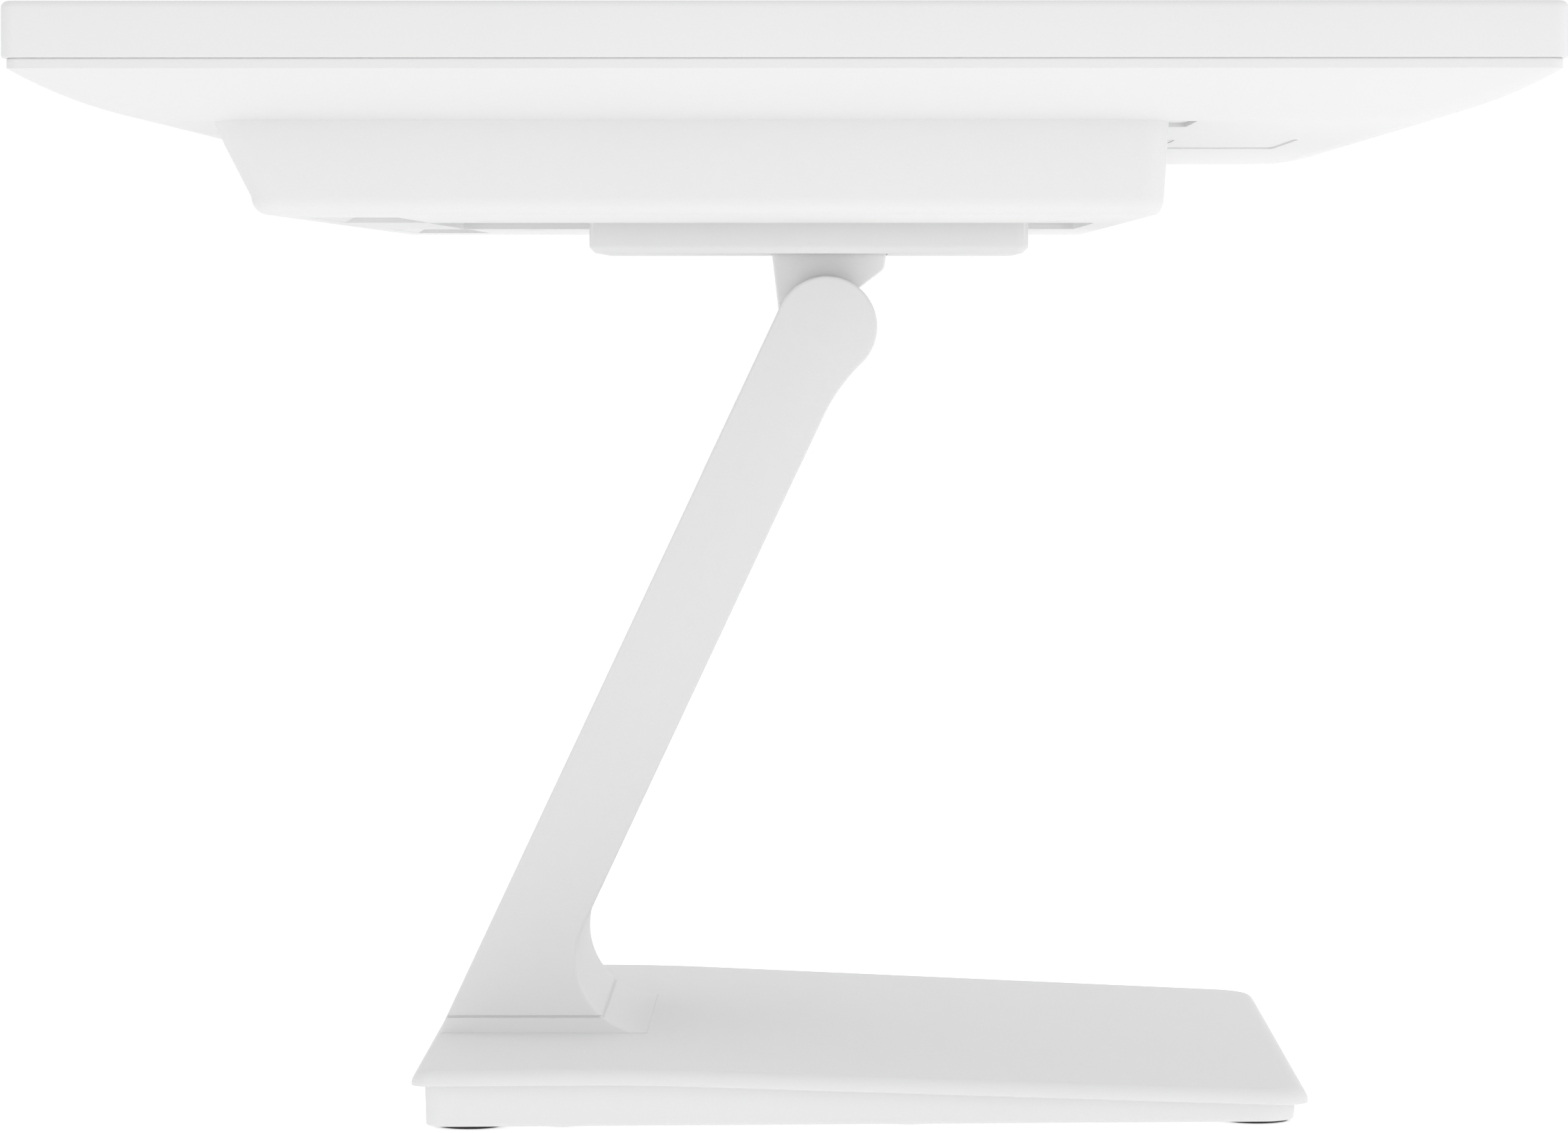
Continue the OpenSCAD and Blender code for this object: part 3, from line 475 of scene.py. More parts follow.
def diffuser():
    """Milky light guide with its etched dots."""
    s = Shader("diffuser")
    dots = s.node("ShaderNodeTexVoronoi", {"Vector": s.coords, "Scale": 900.0}).outputs["Distance"]
    s.colour(s.mix(dots, (0.92, 0.93, 0.94, 1), (0.80, 0.82, 0.84, 1)))
    s.roughness(s.remap(dots, 0.0, 0.8, 0.2, 0.45))
    s.bump([(dots, 0.2, 0.03 * MM)])
    return s.set(IOR=1.49, Transmission_Weight=0.3).material


def lamp():
    """White LED: milky phosphor under clear resin."""
    s = Shader("lamp")
    grain = s.noise(2500.0, 3.0)
    s.colour(s.mix(grain, (0.92, 0.86, 0.46, 1), (0.98, 0.95, 0.72, 1)))
    s.roughness(s.remap(grain, 0.3, 0.7, 0.15, 0.3))
    s.bump([(grain, 0.1, 0.03 * MM)])
    return s.set(IOR=1.53, Coat_Weight=0.6, Coat_Roughness=0.05).material


MATERIALS = {
    "shell_white": moulded("white_shell", 0.765, 0.56, gloss=0.28),
    "screen_glass": screen_glass(),
    "clear_glass": lens_coating(),
    "black_plastic": moulded("black_plastic", 0.022, 0.5, grain=0.8),
    "key_grey": moulded("key_grey", 0.32, 0.42, grain=0.6),
    "white_sheet": diffuser(),
    "foam": foam(),
    "rubber": rubber(),
    "steel": metal("plated_sheet", 0.60, 0.34, spots=0.15),
    "screw_steel": metal("screw_steel", 0.55, 0.28, brushed=(40.0, 40.0, 6.0)),
    "connector_metal": metal("nickel_plate", 0.66, 0.22, brushed=(8.0, 40.0, 8.0), warm=0.01),
    "bracket_paint": painted("bracket_paint", 0.84, 0.5, 1.0),
    "weight_iron": painted("weight_paint", 0.03, 0.5, 1.4),
    "sink_aluminium": metal("aluminium", 0.72, 0.36, brushed=(60.0, 1.0, 60.0)),
    "board": circuit_board(),
    "lamp": lamp(),
}
SMOKED = smoked_glass()


def dress(obj, name):
    obj.data.materials.clear()
    obj.data.materials.append(MATERIALS[name])


def stand_in(obj, body, slot, *nodes):
    """A finished piece takes over from its CAD nodes."""
    dress(obj, slot)
    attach(obj, body)
    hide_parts(*nodes)
    return obj


# ---------- display head ----------

def build_front_frame():
    """Frame with rounded edges, a sunk ledge for the glass and holes for the keys."""
    r = 3.2 * MM
    wall = 2.5 * MM
    edge = 1.7 * MM
    skin_low = Z_LEDGE - 2 * MM
    hx, hy = HEAD_X, HEAD_Y
    gap = 0.25 * MM
    gx = GLASS_HIGH[0] + gap
    g0, g1 = GLASS_LOW[1] - gap, GLASS_HIGH[1] + gap
    ledge = 6 * MM
    lip = 0.35 * MM
    key_gap = 0.35 * MM
    flare = 0.3 * MM

    def outer(inset, z):
        return rect_ring(inset - hx, hx - inset, inset - hy, hy - inset, r - inset, z)

    def pocket(inset, z):
        corner = 2.2 * MM - min(inset, 1.5 * MM)
        return rect_ring(inset - gx, gx - inset, g0 + inset, g1 - inset, corner, z)

    rings = [outer(i, Z_SEAM + d) for i, d in reversed(list(rounding(0.35 * MM, 3)))]
    rings += [outer(i, Z_TOP - d) for i, d in rounding(edge, 8)]
    rings += [pocket(-i, Z_TOP - d) for i, d in reversed(list(rounding(lip, 4)))]
    rings += [pocket(0, Z_LEDGE), pocket(ledge, Z_LEDGE), pocket(ledge, skin_low)]
    rings += [outer(wall, skin_low), outer(wall, Z_SEAM)]
    obj = loft("front_frame_shell", rings, closed=True)
    cutters = []
    hole = (span("power_key", 0)[1] - span("power_key", 0)[0]) / 2 - KEY_FLANGE + key_gap
    for name in KEYS:
        x, y, _ = middle(name)
        profile = [(hole, Z_TOP - 8 * MM), (hole, Z_TOP - flare)]
        profile += [(hole + flare - d, Z_TOP - i) for i, d in reversed(list(rounding(flare, 4)))]
        profile += [(hole + flare, Z_TOP + 1 * MM)]
        cutters.append(turned("hole", profile, (x, y, 0.0)))
    carve(obj, cutters)
    reach = 270 * MM
    key_pocket_y = (wall - hy, middle("power_key")[1] + 10 * MM)
    key_pocket_z = (skin_low - 1 * MM, Z_TOP - 2.5 * MM)
    carve(obj, [slab("pocket", (-reach, reach), key_pocket_y, key_pocket_z, 1 * MM)])
    return stand_in(obj, "display", "shell_white", "front_frame")


def build_glass():
    """Front glass with polished edges."""
    obj = slab("front_glass", (GLASS_LOW[0], GLASS_HIGH[0]), (GLASS_LOW[1], GLASS_HIGH[1]),
               (GLASS_LOW[2], Z_GLASS), 2 * MM, edge=0.4 * MM)
    return stand_in(obj, "display", "screen_glass", "cover_glass")


DISH_INSET = 1.1 * MM
DISH_STEEP = math.radians(32)
DISH_SHALLOW = math.radians(8)
Z_BAND = Z_SEAM - 2.3 * MM
DISH_R = (Z_BAND - Z_DISH) / (math.cos(DISH_SHALLOW) - math.cos(DISH_STEEP))
CAMERA_X, CAMERA_Y, _ = middle("camera_window")
RECESS_FRONT = -131.4 * MM
NOTCH_FRONT = -95.5 * MM
NOTCH_X = (197 * MM, 251 * MM)
HOUSING_X = span("electronics_housing", 0)[1]
HOUSING_FRONT, HOUSING_REAR = span("electronics_housing", 1)


def build_rear_cover():
    """Dished cover: upright rim, one long arc, a softened flat with its shallow recesses."""
    wall = 2.2 * MM
    arc_steps = 24

    def ring(inset, z, r):
        hx, hy = HEAD_X - inset, HEAD_Y - inset
        return rect_ring(-hx, hx, -hy, hy, r, z, 10)

    def side(t):
        made = []
        for i in range(arc_steps + 1):
            a = DISH_SHALLOW + (DISH_STEEP - DISH_SHALLOW) * i / arc_steps
            inset = DISH_R * (math.sin(DISH_STEEP) - math.sin(a))
            z = Z_BAND - DISH_R * (math.cos(a) - math.cos(DISH_STEEP))
            made.append(ring(DISH_INSET + t + inset, z + t, 3.2 * MM + 0.5 * inset))
        return made

    last = DISH_R * (math.sin(DISH_STEEP) - math.sin(DISH_SHALLOW))
    ease = 3 * MM
    mouth = HOUSING_X - 10 * MM
    rings = []
    for t, z_rim in ((0.0, Z_SEAM), (wall, Z_SEAM)):
        part = []
        for k in (3, 2, 1):
            u = k / 3
            part.append(ring(DISH_INSET + t + last + ease * u, Z_DISH + t, 3.2 * MM + 0.5 * last))
        part += side(t)
        part.append(ring(DISH_INSET + t, z_rim - (0.3 * MM if t == 0 else 0), 3.2 * MM))
        if t == 0:
            part.append(ring(DISH_INSET + 0.3 * MM, z_rim, 3.0 * MM))
        rings.append(part)
    inset = 6 * MM
    mouth_low = rect_ring(-mouth, mouth, HOUSING_FRONT + inset, HOUSING_REAR - inset, inset, Z_DISH, 10)
    mouth_high = [(x, y, z + wall) for x, y, z in mouth_low]
    whole = [mouth_low] + rings[0] + list(reversed(rings[1])) + [mouth_high]
    obj = loft("rear_cover_shell", whole, closed=True, smooth=20)
    recess_z = Z_DISH + 0.4 * MM
    below = Z_DISH - 2 * MM
    behind = HOUSING_FRONT + 3 * MM
    cutters = [slab("recess", (CAMERA_X - 55 * MM, CAMERA_X + 55 * MM), (RECESS_FRONT, behind),
                    (below, recess_z), 3 * MM)]
    for x in ((-NOTCH_X[1], -NOTCH_X[0]), NOTCH_X):
        cutters.append(slab("notch", x, (NOTCH_FRONT, behind), (below, Z_DISH + 1 * MM), 1.5 * MM))
    carve(obj, cutters, 20)

    def window(name, inset_x, inset_y, top):
        x = (span("camera_window", 0)[1] - span("camera_window", 0)[0]) / 2 + 0.1 * MM - inset_x
        y = (span("camera_window", 1)[1] - span("camera_window", 1)[0]) / 2 + 0.1 * MM - inset_y
        return slab(name, (CAMERA_X - x, CAMERA_X + x), (CAMERA_Y - y, CAMERA_Y + y), (below, top), 1 * MM)

    carve(obj, [window("window_seat", 0, 0, recess_z + 1 * MM)], 20)
    carve(obj, [window("window_hole", 1.5 * MM, 1 * MM, Z_DISH + 5 * MM)], 20)
    return stand_in(obj, "display", "shell_white", "rear_cover")


def facing_y(obj):
    """Turns a piece drawn in (x, z) with its depth upwards so that the depth runs along -Y."""
    for v in obj.data.vertices:
        x, y, z = v.co
        v.co = (x, -z, y)
    return obj


def wall_slot(x, reach, z, depth):
    """Cutter for an upright slot in a wall across Y."""
    return facing_y(slab("slot", (x - reach, x + reach), z, depth, reach - 0.01 * MM))


BAY_X = (84 * MM, 200 * MM)
BAY_Y = (93.4 * MM, 115 * MM)


def build_housing():
    """Electronics housing: leaning rear wall, rounded underside, slots, port bay and screw holes."""
    edge = 4.2 * MM
    wall = 2.2 * MM
    lean = 9 * MM

    front_lean = 1.2 * MM

    def ring(inset, z, low, front_share=0.55):
        front = HOUSING_FRONT + inset * front_share + front_lean * low
        rear = HOUSING_REAR - inset - lean * low
        corner = max(6 * MM - inset, 1.5 * MM)
        return rect_ring(inset - HOUSING_X, HOUSING_X - inset, front, rear, corner, z, 8)

    root = 0.5 * MM
    outside = [ring(0, Z_DISH + root, 0), ring(0, Z_DISH - 6 * MM, 6 / 17.5)]
    outside += [ring(i, Z_HOUSING + d, 1) for i, d in rounding(edge, 8)]
    inside = [ring(wall, Z_DISH + root, 0, 1), ring(wall, Z_HOUSING + wall + 2 * MM, 1, 1),
              ring(wall + 2 * MM, Z_HOUSING + wall, 1, 1)]
    obj = loft("housing_shell", list(reversed(inside)) + outside)
    below = Z_HOUSING - 2 * MM
    carve(obj, [slab("recess", (-80 * MM, 80 * MM), (-78 * MM, 94 * MM),
                     (below, Z_HOUSING + 1.8 * MM), 4 * MM)])
    carve(obj, [slab("bay", x, BAY_Y, (below, Z_HOUSING + 10.5 * MM), 1 * MM)
                for x in ((-BAY_X[1], -BAY_X[0]), BAY_X)])
    slots = []
    vents = 50
    for i in range(vents):
        x = (i - (vents - 1) / 2) * 7 * MM
        slots.append(wall_slot(x, 1.2 * MM, (Z_DISH - 12 * MM, Z_DISH - 4 * MM),
                               (-HOUSING_REAR - 2 * MM, 16 * MM - HOUSING_REAR)))
    for k in (-1, 1):
        for i in range(8):
            x = k * (191 + 6 * i) * MM
            slots.append(wall_slot(x, 1 * MM, (Z_DISH - 14 * MM, Z_DISH - 5 * MM),
                               (-HOUSING_FRONT - 4 * MM, 1 * MM - HOUSING_FRONT)))
    carve(obj, slots)
    seat, head, shank = 3.7 * MM, 3.2 * MM, 1.7 * MM
    steps = ((seat, -1), (seat, 0), (head, 0.5), (head, 1.5), (shank, 1.5), (shank, 4))
    profile = [(r, Z_HOUSING + h * MM) for r, h in steps]
    carve(obj, [turned("hole", profile, (x, y, 0), count=40) for x, y in screw_places("housing_screws")])
    return stand_in(obj, "display", "shell_white", "electronics_housing")


def screw_places(node):
    """Centres of a node's separate screws, from the islands of its mesh."""
    mesh = frame["nodes"][node].data
    bm = bmesh.new()
    bm.from_mesh(mesh)
    bmesh.ops.remove_doubles(bm, verts=bm.verts, dist=1e-6)
    left = set(bm.verts)
    places = []
    while left:
        stack = [left.pop()]
        island = []
        while stack:
            v = stack.pop()
            island.append(v.co.copy())
            for e in v.link_edges:
                other = e.other_vert(v)
                if other in left:
                    left.remove(other)
                    stack.append(other)
        low = [min(p[i] for p in island) for i in range(2)]
        high = [max(p[i] for p in island) for i in range(2)]
        places.append(((low[0] + high[0]) / 2, (low[1] + high[1]) / 2))
    bm.free()
    return sorted(places)


def build_screws(name, body, node, head_r):
    """Pan-head screws seen from below, each with a cross recess."""
    low, high = span(node, 2)
    shank, head_t = 1.4 * MM, 1.4 * MM
    thin, long = 0.45 * MM, 1.7 * MM
    profile = [(ON_AXIS, low)]
    profile += [(head_r - 0.9 * MM + 0.3 * MM * i, low + 0.12 * MM * i * i / 3) for i in range(4)]
    profile += [(head_r, low + head_t), (shank, low + head_t), (shank, high), (ON_AXIS, high)]
    made = []
    for x, y in screw_places(node):
        screw = turned("screw", profile, (x, y, 0), count=40)
        for w, d in ((thin, long), (long, thin)):
            cross = slab("cross", (x - w, x + w), (y - d, y + d), (low - 1 * MM, low + 0.8 * MM), 0.2 * MM)
            carve(screw, [cross])
        made.append(screw)
    obj = join(name, made)
    shade(obj, 35)
    return stand_in(obj, body, "screw_steel", node)


def key_symbol(name, x, y, z):
    """Raised generic mark in the finger dish: minus, plus, power ring, sun or half disc."""
    low, high = z - 0.5 * MM, z - 0.12 * MM
    ring_r = 2.0 * MM

    def bar(reach_x, reach_y, edge=0.12 * MM, shift=0.0):
        place = y + shift
        return slab("bar", (x - reach_x, x + reach_x), (place - reach_y, place + reach_y),
                    (low, high), min(reach_x, reach_y), edge)

    def dot(cx, cy, r, inset, count):
        profile = [(ON_AXIS, low), (r, low), (r, high - 0.1 * MM), (r - inset, high), (ON_AXIS, high)]
        return turned("dot", profile, (cx, cy, 0), count=count)

    parts = []
    wide, long = 0.45 * MM, 2.2 * MM
    if name in ("zoom_in_key", "zoom_out_key"):
        parts.append(bar(long, wide))
    if name == "zoom_in_key":
        parts.append(bar(wide, long))
    if name == "power_key":
        parts.append(arc_bar(x, y, low, high, ring_r, 0.4 * MM, 125, 415))
        parts.append(bar(0.4 * MM, 1.05 * MM, 0.1 * MM, 1.65 * MM))
    if name == "light_key":
        parts.append(dot(x, y, 1.1 * MM, 0.2 * MM, 32))
        rays, ray_r = 8, 2.3 * MM
        for k in range(rays):
            a = 2 * math.pi / rays * k
            parts.append(dot(x + ray_r * math.cos(a), y + ray_r * math.sin(a), 0.36 * MM, 0.1 * MM, 20))
    if name == "mode_key":
        parts.append(arc_bar(x, y, low, high, ring_r, 0.35 * MM, -90, 90))
        disc = arc((x, y), 2.35 * MM, math.pi / 2, 1.5 * math.pi, 24)
        parts.append(loft("half_disc", [[(u, v, level) for u, v in disc] for level in (low, high)]))
    obj = join(name + "_mark", parts)
    shade(obj, 35)
    return obj


def arc_bar(x, y, low, high, r, reach, start, end, steps=36):
    """Bar bent to an arc, as far in as out from its radius, with flat ends."""
    inner, outer = r - reach, r + reach
    rings = []
    for i in range(steps + 1):
        a = math.radians(start + (end - start) * i / steps)
        c, s = math.cos(a), math.sin(a)
        rings.append([(x + inner * c, y + inner * s, low), (x + outer * c, y + outer * s, low),
                      (x + outer * c, y + outer * s, high), (x + inner * c, y + inner * s, high)])
    return loft("arc_bar", rings)


def build_keys():
    """Keys with a finger dish, a rounded rim and a raised mark."""
    stem = 1.6 * MM
    dish_t = 0.45 * MM
    for name in KEYS:
        low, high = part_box(name)
        x, y, _ = middle(name)
        r = (high[0] - low[0]) / 2 - KEY_FLANGE
        top = high[2]
        flange = Z_TOP - 2.65 * MM
        flange_low = flange - 1.15 * MM
        profile = [(ON_AXIS, low[2]), (stem, low[2]), (stem, flange_low), (r + KEY_FLANGE, flange_low),
                   (r + KEY_FLANGE, flange), (r, flange)]
        profile += [(r - i, top - d) for i, d in rounding(0.45 * MM, 6)]
        dish_r = r - 0.9 * MM
        for i in range(9):
            u = 1 - i / 8
            profile.append((max(dish_r * u, ON_AXIS), top - dish_t * (1 - u * u)))
        cap = turned(name + "_cap", profile, (x, y, 0), count=96)
        body = name.replace("_key", "")
        stand_in(cap, body, "key_grey", name)
        mark = key_symbol(name, x, y, top)
        dress(mark, "shell_white")
        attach(mark, body)


def build_camera_window():
    low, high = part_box("camera_window")
    obj = slab("smoked_window", *zip(low, high), 0.9 * MM, 0.1 * MM, 0.15 * MM)
    stand_in(obj, "display", "black_plastic", "camera_window")
    obj.data.materials[0] = SMOKED


def build_mount_cover():
    """Square cover with a chamfered, softened edge and an opening for the bracket."""
    low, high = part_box("mount_cover")
    chamfer = 1.6 * MM
    ease, soft, thin = 0.35 * MM, 0.25 * MM, 0.06 * MM
    top_edge = 0.2 * MM

    def ring(inset, z):
        corner = 3 * MM - inset * 0.5
        return rect_ring(low[0] + inset, high[0] - inset, low[1] + inset, high[1] - inset, corner, z)

    lower = ((chamfer + ease, 0), (chamfer, thin), (chamfer - soft, soft), (soft, chamfer - soft),
             (thin, chamfer), (0, chamfer + ease))
    rings = [ring(inset, low[2] + rise) for inset, rise in lower]
    rings += [ring(0, high[2] - top_edge), ring(top_edge, high[2])]
    obj = loft("mount_cover_shell", rings, smooth=50)
    carve(obj, [slab("opening", (-30.4 * MM, 30.4 * MM), (-25 * MM, 6.3 * MM),
                     (low[2] - 1 * MM, low[2] + 4 * MM), 0.6 * MM)], 50)
    return stand_in(obj, "display", "shell_white", "mount_cover")


def build_bracket():
    """Cast bracket: a foot in the mount cover, a tapering web and the hinge barrel."""
    low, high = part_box("hinge_bracket")
    r = 12.6 * MM
    z_mount = span("mount_cover", 2)[0]
    z_top = high[2] - 0.5 * MM
    rear, front = 5.8 * MM, -24.5 * MM
    start, end = math.radians(3), math.radians(-230.6)
    outline = [(rear, z_top), (rear, z_mount), (4.0 * MM, HINGE_Z + 3.6 * MM)]
    outline += arc((HINGE_Y, HINGE_Z), r, start, end, 48)
    outline += [(-23.4 * MM, HINGE_Z + 14.7 * MM), (-24.1 * MM, HINGE_Z + 15.3 * MM), (front, z_mount),
                (front, z_top)]
    obj = loft("bracket_casting", [[(x, y, z) for y, z in outline] for x in (-30 * MM, 30 * MM)])
    bevel(obj, 0.7 * MM, 4, 40)
    return stand_in(obj, "display", "bracket_paint", "hinge_bracket")


# ---------- neck ----------

LEAN = math.radians(25.2)
KNUCKLE = 13.3 * MM
FRONT_T = 9.3 * MM
BULGE = 48 * MM
FOOT = 19.5 * MM
Z_BASE_TOP = 15.75 * MM
NECK_X = span("neck_housing", 0)[1]
Z_COLLAR = span("neck_housing", 2)[0]
NECK_EDGE = 0.8 * MM
GROOVE = 0.4 * MM


def neck_at(s, t):
    """(y, z) of a place s down the neck and t towards its rear face."""
    c, k = math.cos(LEAN), math.sin(LEAN)
    return HINGE_Y + s * k + t * c, HINGE_Z - s * c + t * k


def neck_y(t, z):
    """y of the neck's face t at height z."""
    return HINGE_Y + (t - (z - HINGE_Z) * math.sin(LEAN)) / math.cos(LEAN)


def neck_side(w):
    """Neck outline without its lower end, from the rear round the head to the foot of the front face."""
    s = math.sqrt((KNUCKLE + BULGE) ** 2 - (FRONT_T + BULGE) ** 2)
    bulge = neck_at(s, -FRONT_T - BULGE)
    turn = math.atan2(HINGE_Z - bulge[1], HINGE_Y - bulge[0])
    head = arc((HINGE_Y, HINGE_Z), KNUCKLE - w, LEAN, turn + math.pi, 64)
    return head + arc(bulge, BULGE + w, turn, LEAN, 20)[1:]


def foot_arc(w, low_z, high_z=None, steps=24):
    """Hollow curve at the foot of the neck's front face, between two heights or from where it starts."""
    centre = (neck_y(-FRONT_T - FOOT, Z_BASE_TOP + FOOT), Z_BASE_TOP + FOOT)

    def angle(z):
        return math.asin(max(-0.9994, (z - centre[1]) / (FOOT + w)))

    return arc(centre, FOOT + w, LEAN if high_z is None else angle(high_z), angle(low_z), steps)


def in_neck(obj):
    """Lays a piece drawn in (x, s, t) along the neck."""
    for v in obj.data.vertices:
        x, s, t = v.co
        y, z = neck_at(s, t)
        v.co = (x, y, z)
    return obj


def hinge_slot(reach, flare):
    """Cutter for the slot that the bracket's barrel turns in, flared at both mouths."""
    wide = KNUCKLE + 0.4 * MM
    steps = 5
    turns = [math.pi / 2 * i / steps for i in range(steps + 1)]
    sides = [(KNUCKLE - flare + flare * math.sin(a), reach + flare * (1 - math.cos(a))) for a in turns]
    profile = [(ON_AXIS, -reach)] + [(r, -x) for r, x in sides]
    profile += [(wide, -reach - flare), (wide, reach + flare)]
    profile += list(reversed(sides)) + [(ON_AXIS, reach)]
    return turned("slot", profile, (0, HINGE_Y, HINGE_Z), "x", 128)


def build_neck():
    """Neck shell with rounded long edges, a slot and cheeks for the hinge, and its rear panel."""
    gap = 0.55 * MM
    nick = 0.12 * MM

    def outline(w):
        foot = foot_arc(w, Z_COLLAR + gap + nick)
        y_foot = foot_arc(w + nick, Z_COLLAR + gap)[-1][0]
        rear = [(neck_y(KNUCKLE - w - nick, Z_COLLAR + gap), Z_COLLAR + gap),
                (neck_y(KNUCKLE - w, Z_COLLAR + gap + nick), Z_COLLAR + gap + nick)]
        return rear + neck_side(w) + foot + [(y_foot, Z_COLLAR + gap)]

    obj = across_x("neck_shell", outline, NECK_X, NECK_EDGE)
    carve(obj, [hinge_slot(30.7 * MM, 0.8 * MM)])
    cheek_r, cheek_x = 10.9 * MM, 46.6 * MM
    cheek = [(ON_AXIS, -cheek_x), (cheek_r, -cheek_x), (cheek_r, cheek_x), (ON_AXIS, cheek_x)]
    carve(obj, [turned("cheek", cheek, (0, HINGE_Y, HINGE_Z), "x", 96)])
    x, top, foot, fit = 43 * MM, 24 * MM, 189 * MM, 0.2 * MM
    seat_depth = (KNUCKLE - 1.3 * MM, KNUCKLE + 3 * MM)
    carve(obj, [in_neck(slab("seat", (-x, x), (top, foot), seat_depth, 3 * MM))])
    stand_in(obj, "stand", "shell_white", "neck_housing")
    panel = in_neck(slab("neck_panel", (fit - x, x - fit), (top + fit, foot - fit),
                         (KNUCKLE - 1.25 * MM, KNUCKLE), 2.8 * MM, 0.35 * MM))
    shade(panel, 35)
    stand_in(panel, "stand", "shell_white", "neck_rear_cover")


# ---------- base ----------

BASE_LOW, BASE_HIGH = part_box("base_cover")
BASE_FRONT, BASE_REAR = BASE_LOW[1], BASE_HIGH[1]
BASE_REAR_X = BASE_HIGH[0]
BASE_FRONT_X = 121 * MM
TURN_Y = 38 * MM
FALL = 0.037
RIM = 4.1 * MM


def fall(y):
    """How far the base has dropped at y, eased over the turn."""
    ease = 14 * MM
    if y > TURN_Y + ease:
        return 0.0
    if y < TURN_Y - ease:
        return FALL * (TURN_Y - y)
    return FALL * (TURN_Y + ease - y) ** 2 / (4 * ease)


def base_side(w):
    """Right-hand side of the base's plan, from front to rear."""
    xr, xf = BASE_REAR_X - w, BASE_FRONT_X - w
    rr, rf = 4 * MM, 10 * MM - w / 2
    y0, y1 = BASE_FRONT + w + rf, BASE_REAR - w - rr
    points = arc((xf - rf, y0), rf, -math.pi / 2, 0, 10)
    for y in [TURN_Y + k * 3.5 * MM for k in range(-5, 6)]:
        points.append((xf + (xr - xf) * (y - y0) / (y1 - y0), y))
    return points + arc((xr - rr, y1), rr, 0, math.pi / 2, 8)


def base_solid(name, levels, smooth=30):
    """Closed solid through the base's plan. levels are (inset, height, bent) from the bottom up.

    The ends are filled in strips from side to side, so they can follow the bend.
    """
    bm = bmesh.new()
    rings = []
    for inset, z, bent in levels:
        right = [(x, y, z - (fall(y) if bent else 0)) for x, y in base_side(inset)]
        rings.append(right + [(-x, y, h) for x, y, h in reversed(right)])
    made = bridge(bm, rings, ends=(False, False))
    n = len(made[0])
    for ring in (made[0], made[-1]):
        for i in range(n // 2 - 1):
            bm.faces.new((ring[i], ring[i + 1], ring[n - 2 - i], ring[n - 1 - i]))
    return from_bmesh(name, bm, smooth)


def build_base():
    """Wedge cover with a rolled edge and the neck's collar, over an inset tray with its feet."""
    rim_low = Z_BASE_TOP - RIM
    build_base_cover(rim_low)
    low = span("base_tray", 2)[0]
    foot_r = 8.5 * MM
    build_base_tray(low, rim_low + 0.6 * MM, foot_r)
    build_feet(foot_r)


def build_base_cover(rim_low):
    lower = ((2.4, 0.0), (0.3, 0.0), (0.08, 0.1), (0.0, 0.35))
    levels = [(inset * MM, rim_low + rise * MM, True) for inset, rise in lower]
    levels += [(i, Z_BASE_TOP - d, True) for i, d in rounding(3.6 * MM, 10)]
    cover = base_solid("base_shell", levels)
    buried = Z_BASE_TOP - 1 * MM

    def outline(w):
        nick = 0.12 * MM
        foot = foot_arc(w, Z_BASE_TOP, Z_COLLAR - nick, 16)
        y_foot = foot_arc(w + nick, Z_COLLAR)[-1][0]
        rear = [(neck_y(KNUCKLE - w, z), z) for z in (buried, Z_COLLAR - nick)]
        rear.append((neck_y(KNUCKLE - w - nick, Z_COLLAR), Z_COLLAR))
        return rear + [(y_foot, Z_COLLAR)] + foot + [(foot[-1][0], buried)]

    def spigot_outline(w):
        low, high = Z_COLLAR - 2 * MM, Z_COLLAR + 0.6 * MM
        rear = [(neck_y(KNUCKLE - w - GROOVE, z), z) for z in (low, high)]
        return rear + foot_arc(w + GROOVE, low, high, 8)

    unite(cover, across_x("collar", outline, NECK_X, NECK_EDGE), 30)
    unite(cover, across_x("spigot", spigot_outline, NECK_X - GROOVE, NECK_EDGE), 30)
    stand_in(cover, "stand", "shell_white", "base_cover")


def build_base_tray(low, high, foot_r):
    inset, draft = 3.2 * MM, 0.25 * MM
    levels = [(inset + draft + i, low + d, False) for i, d in reversed(list(rounding(0.8 * MM, 5)))]
    levels += [(inset, high, True), (6 * MM, high, True)]
    tub = base_solid("base_tub", levels)

    def seats(node, r, ease, drop, depth, count):
        """Round seats round a node's separate pieces, wider by ease at the mouth."""
        profile = [(r + ease, low - 1 * MM), (r + ease, low), (r, low + drop), (r, low + depth)]
        return [turned("seat", profile, (x, y, 0), count=count) for x, y in screw_places(node)]

    cutters = seats("base_screws", 3.2 * MM, 0.3 * MM, 0.3 * MM, 2 * MM, 40)
    cutters += seats("rubber_feet", foot_r + 0.1 * MM, 0.2 * MM, 0.2 * MM, 0.8 * MM, 64)
    carve(tub, cutters, 30)
    stand_in(tub, "stand", "shell_white", "base_tray")


def build_feet(r):
    """Rubber discs with a shallow dished sole and a rounded edge."""
    top = span("rubber_feet", 2)[1]
    edge = 0.5 * MM
    profile = [(ON_AXIS, 0.25 * MM), (5.6 * MM, 0.25 * MM), (6.0 * MM, 0.0), (r - 0.6 * MM, 0.0)]
    for a in (30, 60, 90):
        turn = math.radians(a)
        profile.append((r - edge * (1 - math.sin(turn)), edge * (1 - math.cos(turn))))
    profile += [(r, top), (ON_AXIS, top)]
    made = [turned("foot", profile, (x, y, 0), count=72) for x, y in screw_places("rubber_feet")]
    feet = join("feet", made)
    shade(feet, 35)
    stand_in(feet, "stand", "rubber", "rubber_feet")


# ---------- scene ----------

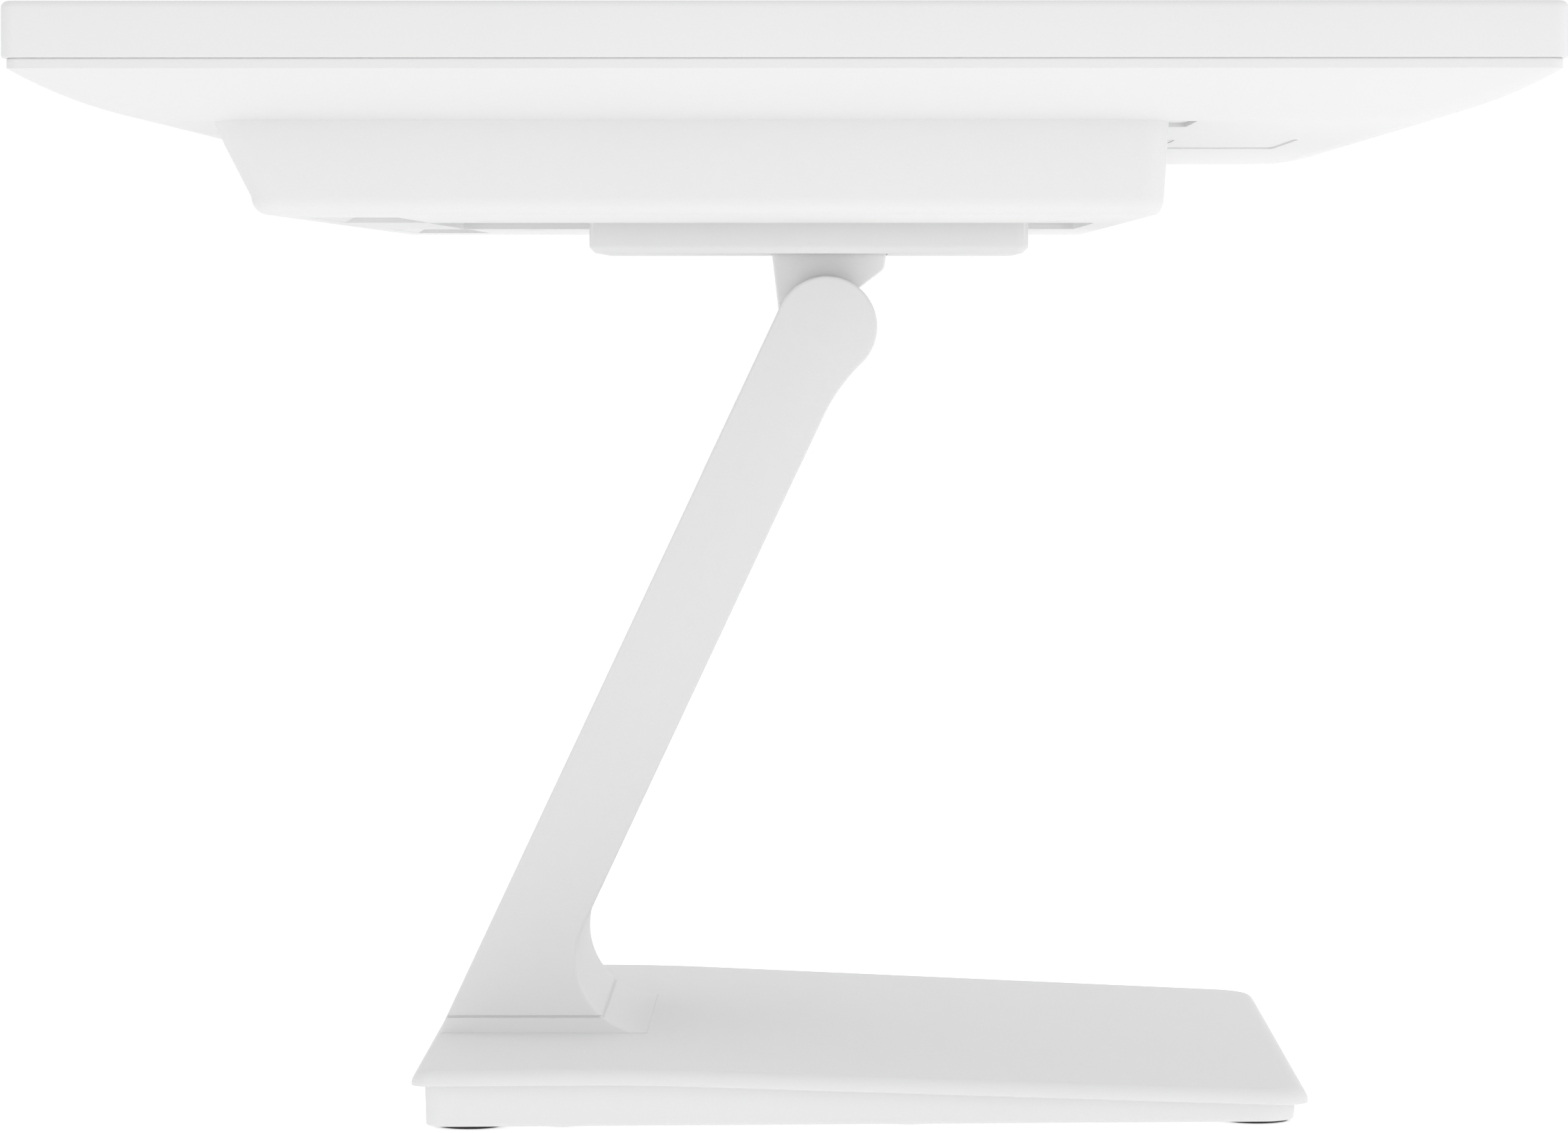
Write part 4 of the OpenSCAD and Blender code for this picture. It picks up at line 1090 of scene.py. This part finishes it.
FRONT_LIGHT, REAR_LIGHT, TOP_LIGHT = 1.12, 0.92, 0.84
FLOOR_SIZE = 6
LAMP_SIZE = 1.6
LAMP_POWER = 2.0
CAMERA_PLACE = (-1.7765, -0.0157, 0.2106)
CAMERA_LENS = 150.8
CAMERA_DOWN, CAMERA_YAW = 2.37, 0.6


def dress_carried_nodes():
    for part in frame["record"]["subparts"]:
        obj = frame["nodes"][part["node"]]
        obj.data.materials.clear()
        obj.data.materials.append(MATERIALS[part["material_slot"]])


def build_stage():
    """Pale floor and soft studio light, both a little stronger on the reader's side."""
    floor = loft("floor", [rect_ring(-FLOOR_SIZE, FLOOR_SIZE, -FLOOR_SIZE, FLOOR_SIZE, 0.5, z)
                           for z in (-0.001, 0.0)])
    s = Shader("floor")
    s.colour(s.mix(s.noise(3.0), grey(0.70), grey(0.74)))
    s.roughness(s.remap(s.noise(40.0), 0.3, 0.7, 0.85, 0.95))
    y = s.node("ShaderNodeSeparateXYZ", {0: s.coords}).outputs["Y"]
    s.link(s.remap(y, -1.2, 1.2, 0.66, 0.40), s.bsdf.inputs["Emission Strength"])
    s.set(Emission_Color=(1.0, 1.0, 1.0, 1.0))
    floor.data.materials.append(s.material)
    build_world()
    build_lamp("key", (-2.2, -1.4, 1.6))
    build_lamp("rim", (1.6, 1.8, 1.8))


def build_world():
    """White room, brighter on the reader's side than behind and dimmer overhead."""
    world = bpy.data.worlds.new("studio")
    world.use_nodes = True
    tree = world.node_tree
    place = tree.nodes.new("ShaderNodeSeparateXYZ")
    tree.links.new(tree.nodes.new("ShaderNodeTexCoord").outputs["Generated"], place.inputs[0])
    levels = []
    sockets = ("From Min", "From Max", "To Min", "To Max")
    for axis, values in (("Y", (-0.9, 0.9, FRONT_LIGHT, REAR_LIGHT)), ("Z", (0.1, 0.9, 1.0, TOP_LIGHT))):
        level = tree.nodes.new("ShaderNodeMapRange")
        tree.links.new(place.outputs[axis], level.inputs["Value"])
        for name, value in zip(sockets, values):
            level.inputs[name].default_value = value
        levels.append(level)
    both = tree.nodes.new("ShaderNodeMath")
    both.operation = "MULTIPLY"
    for level, socket in zip(levels, both.inputs):
        tree.links.new(level.outputs["Result"], socket)
    back = tree.nodes["Background"]
    back.inputs["Color"].default_value = (1.0, 1.0, 1.0, 1.0)
    tree.links.new(both.outputs[0], back.inputs["Strength"])
    bpy.context.scene.world = world


def build_lamp(name, place):
    data = bpy.data.lights.new(name, "AREA")
    data.shape = "DISK"
    data.size = LAMP_SIZE
    data.energy = LAMP_POWER
    obj = bpy.data.objects.new(name, data)
    obj.location = place
    obj.rotation_mode = "QUATERNION"
    obj.rotation_quaternion = (Vector((0.0, 0.0, 0.14)) - Vector(place)).to_track_quat("-Z", "Y")
    bpy.context.scene.collection.objects.link(obj)


def build_camera():
    """Almost level view along the long side, from the reader's left."""
    data = bpy.data.cameras.new("camera")
    data.sensor_fit = "HORIZONTAL"
    data.sensor_width = 36.0
    data.lens = CAMERA_LENS
    data.clip_start, data.clip_end = 0.05, 50.0
    obj = bpy.data.objects.new("camera", data)
    obj.location = CAMERA_PLACE
    obj.rotation_euler = (math.radians(90 - CAMERA_DOWN), 0.0, math.radians(CAMERA_YAW - 90))
    bpy.context.scene.collection.objects.link(obj)
    bpy.context.scene.camera = obj


build_camera()
dress_carried_nodes()
build_front_frame()
build_glass()
build_rear_cover()
build_housing()
build_screws("housing_screw_heads", "display", "housing_screws", 3 * MM)
build_keys()
build_camera_window()
build_mount_cover()
build_bracket()
build_neck()
build_base()
build_screws("base_screw_heads", "stand", "base_screws", 3 * MM)
build_stage()
bpy.context.scene.view_settings.view_transform = "Standard"
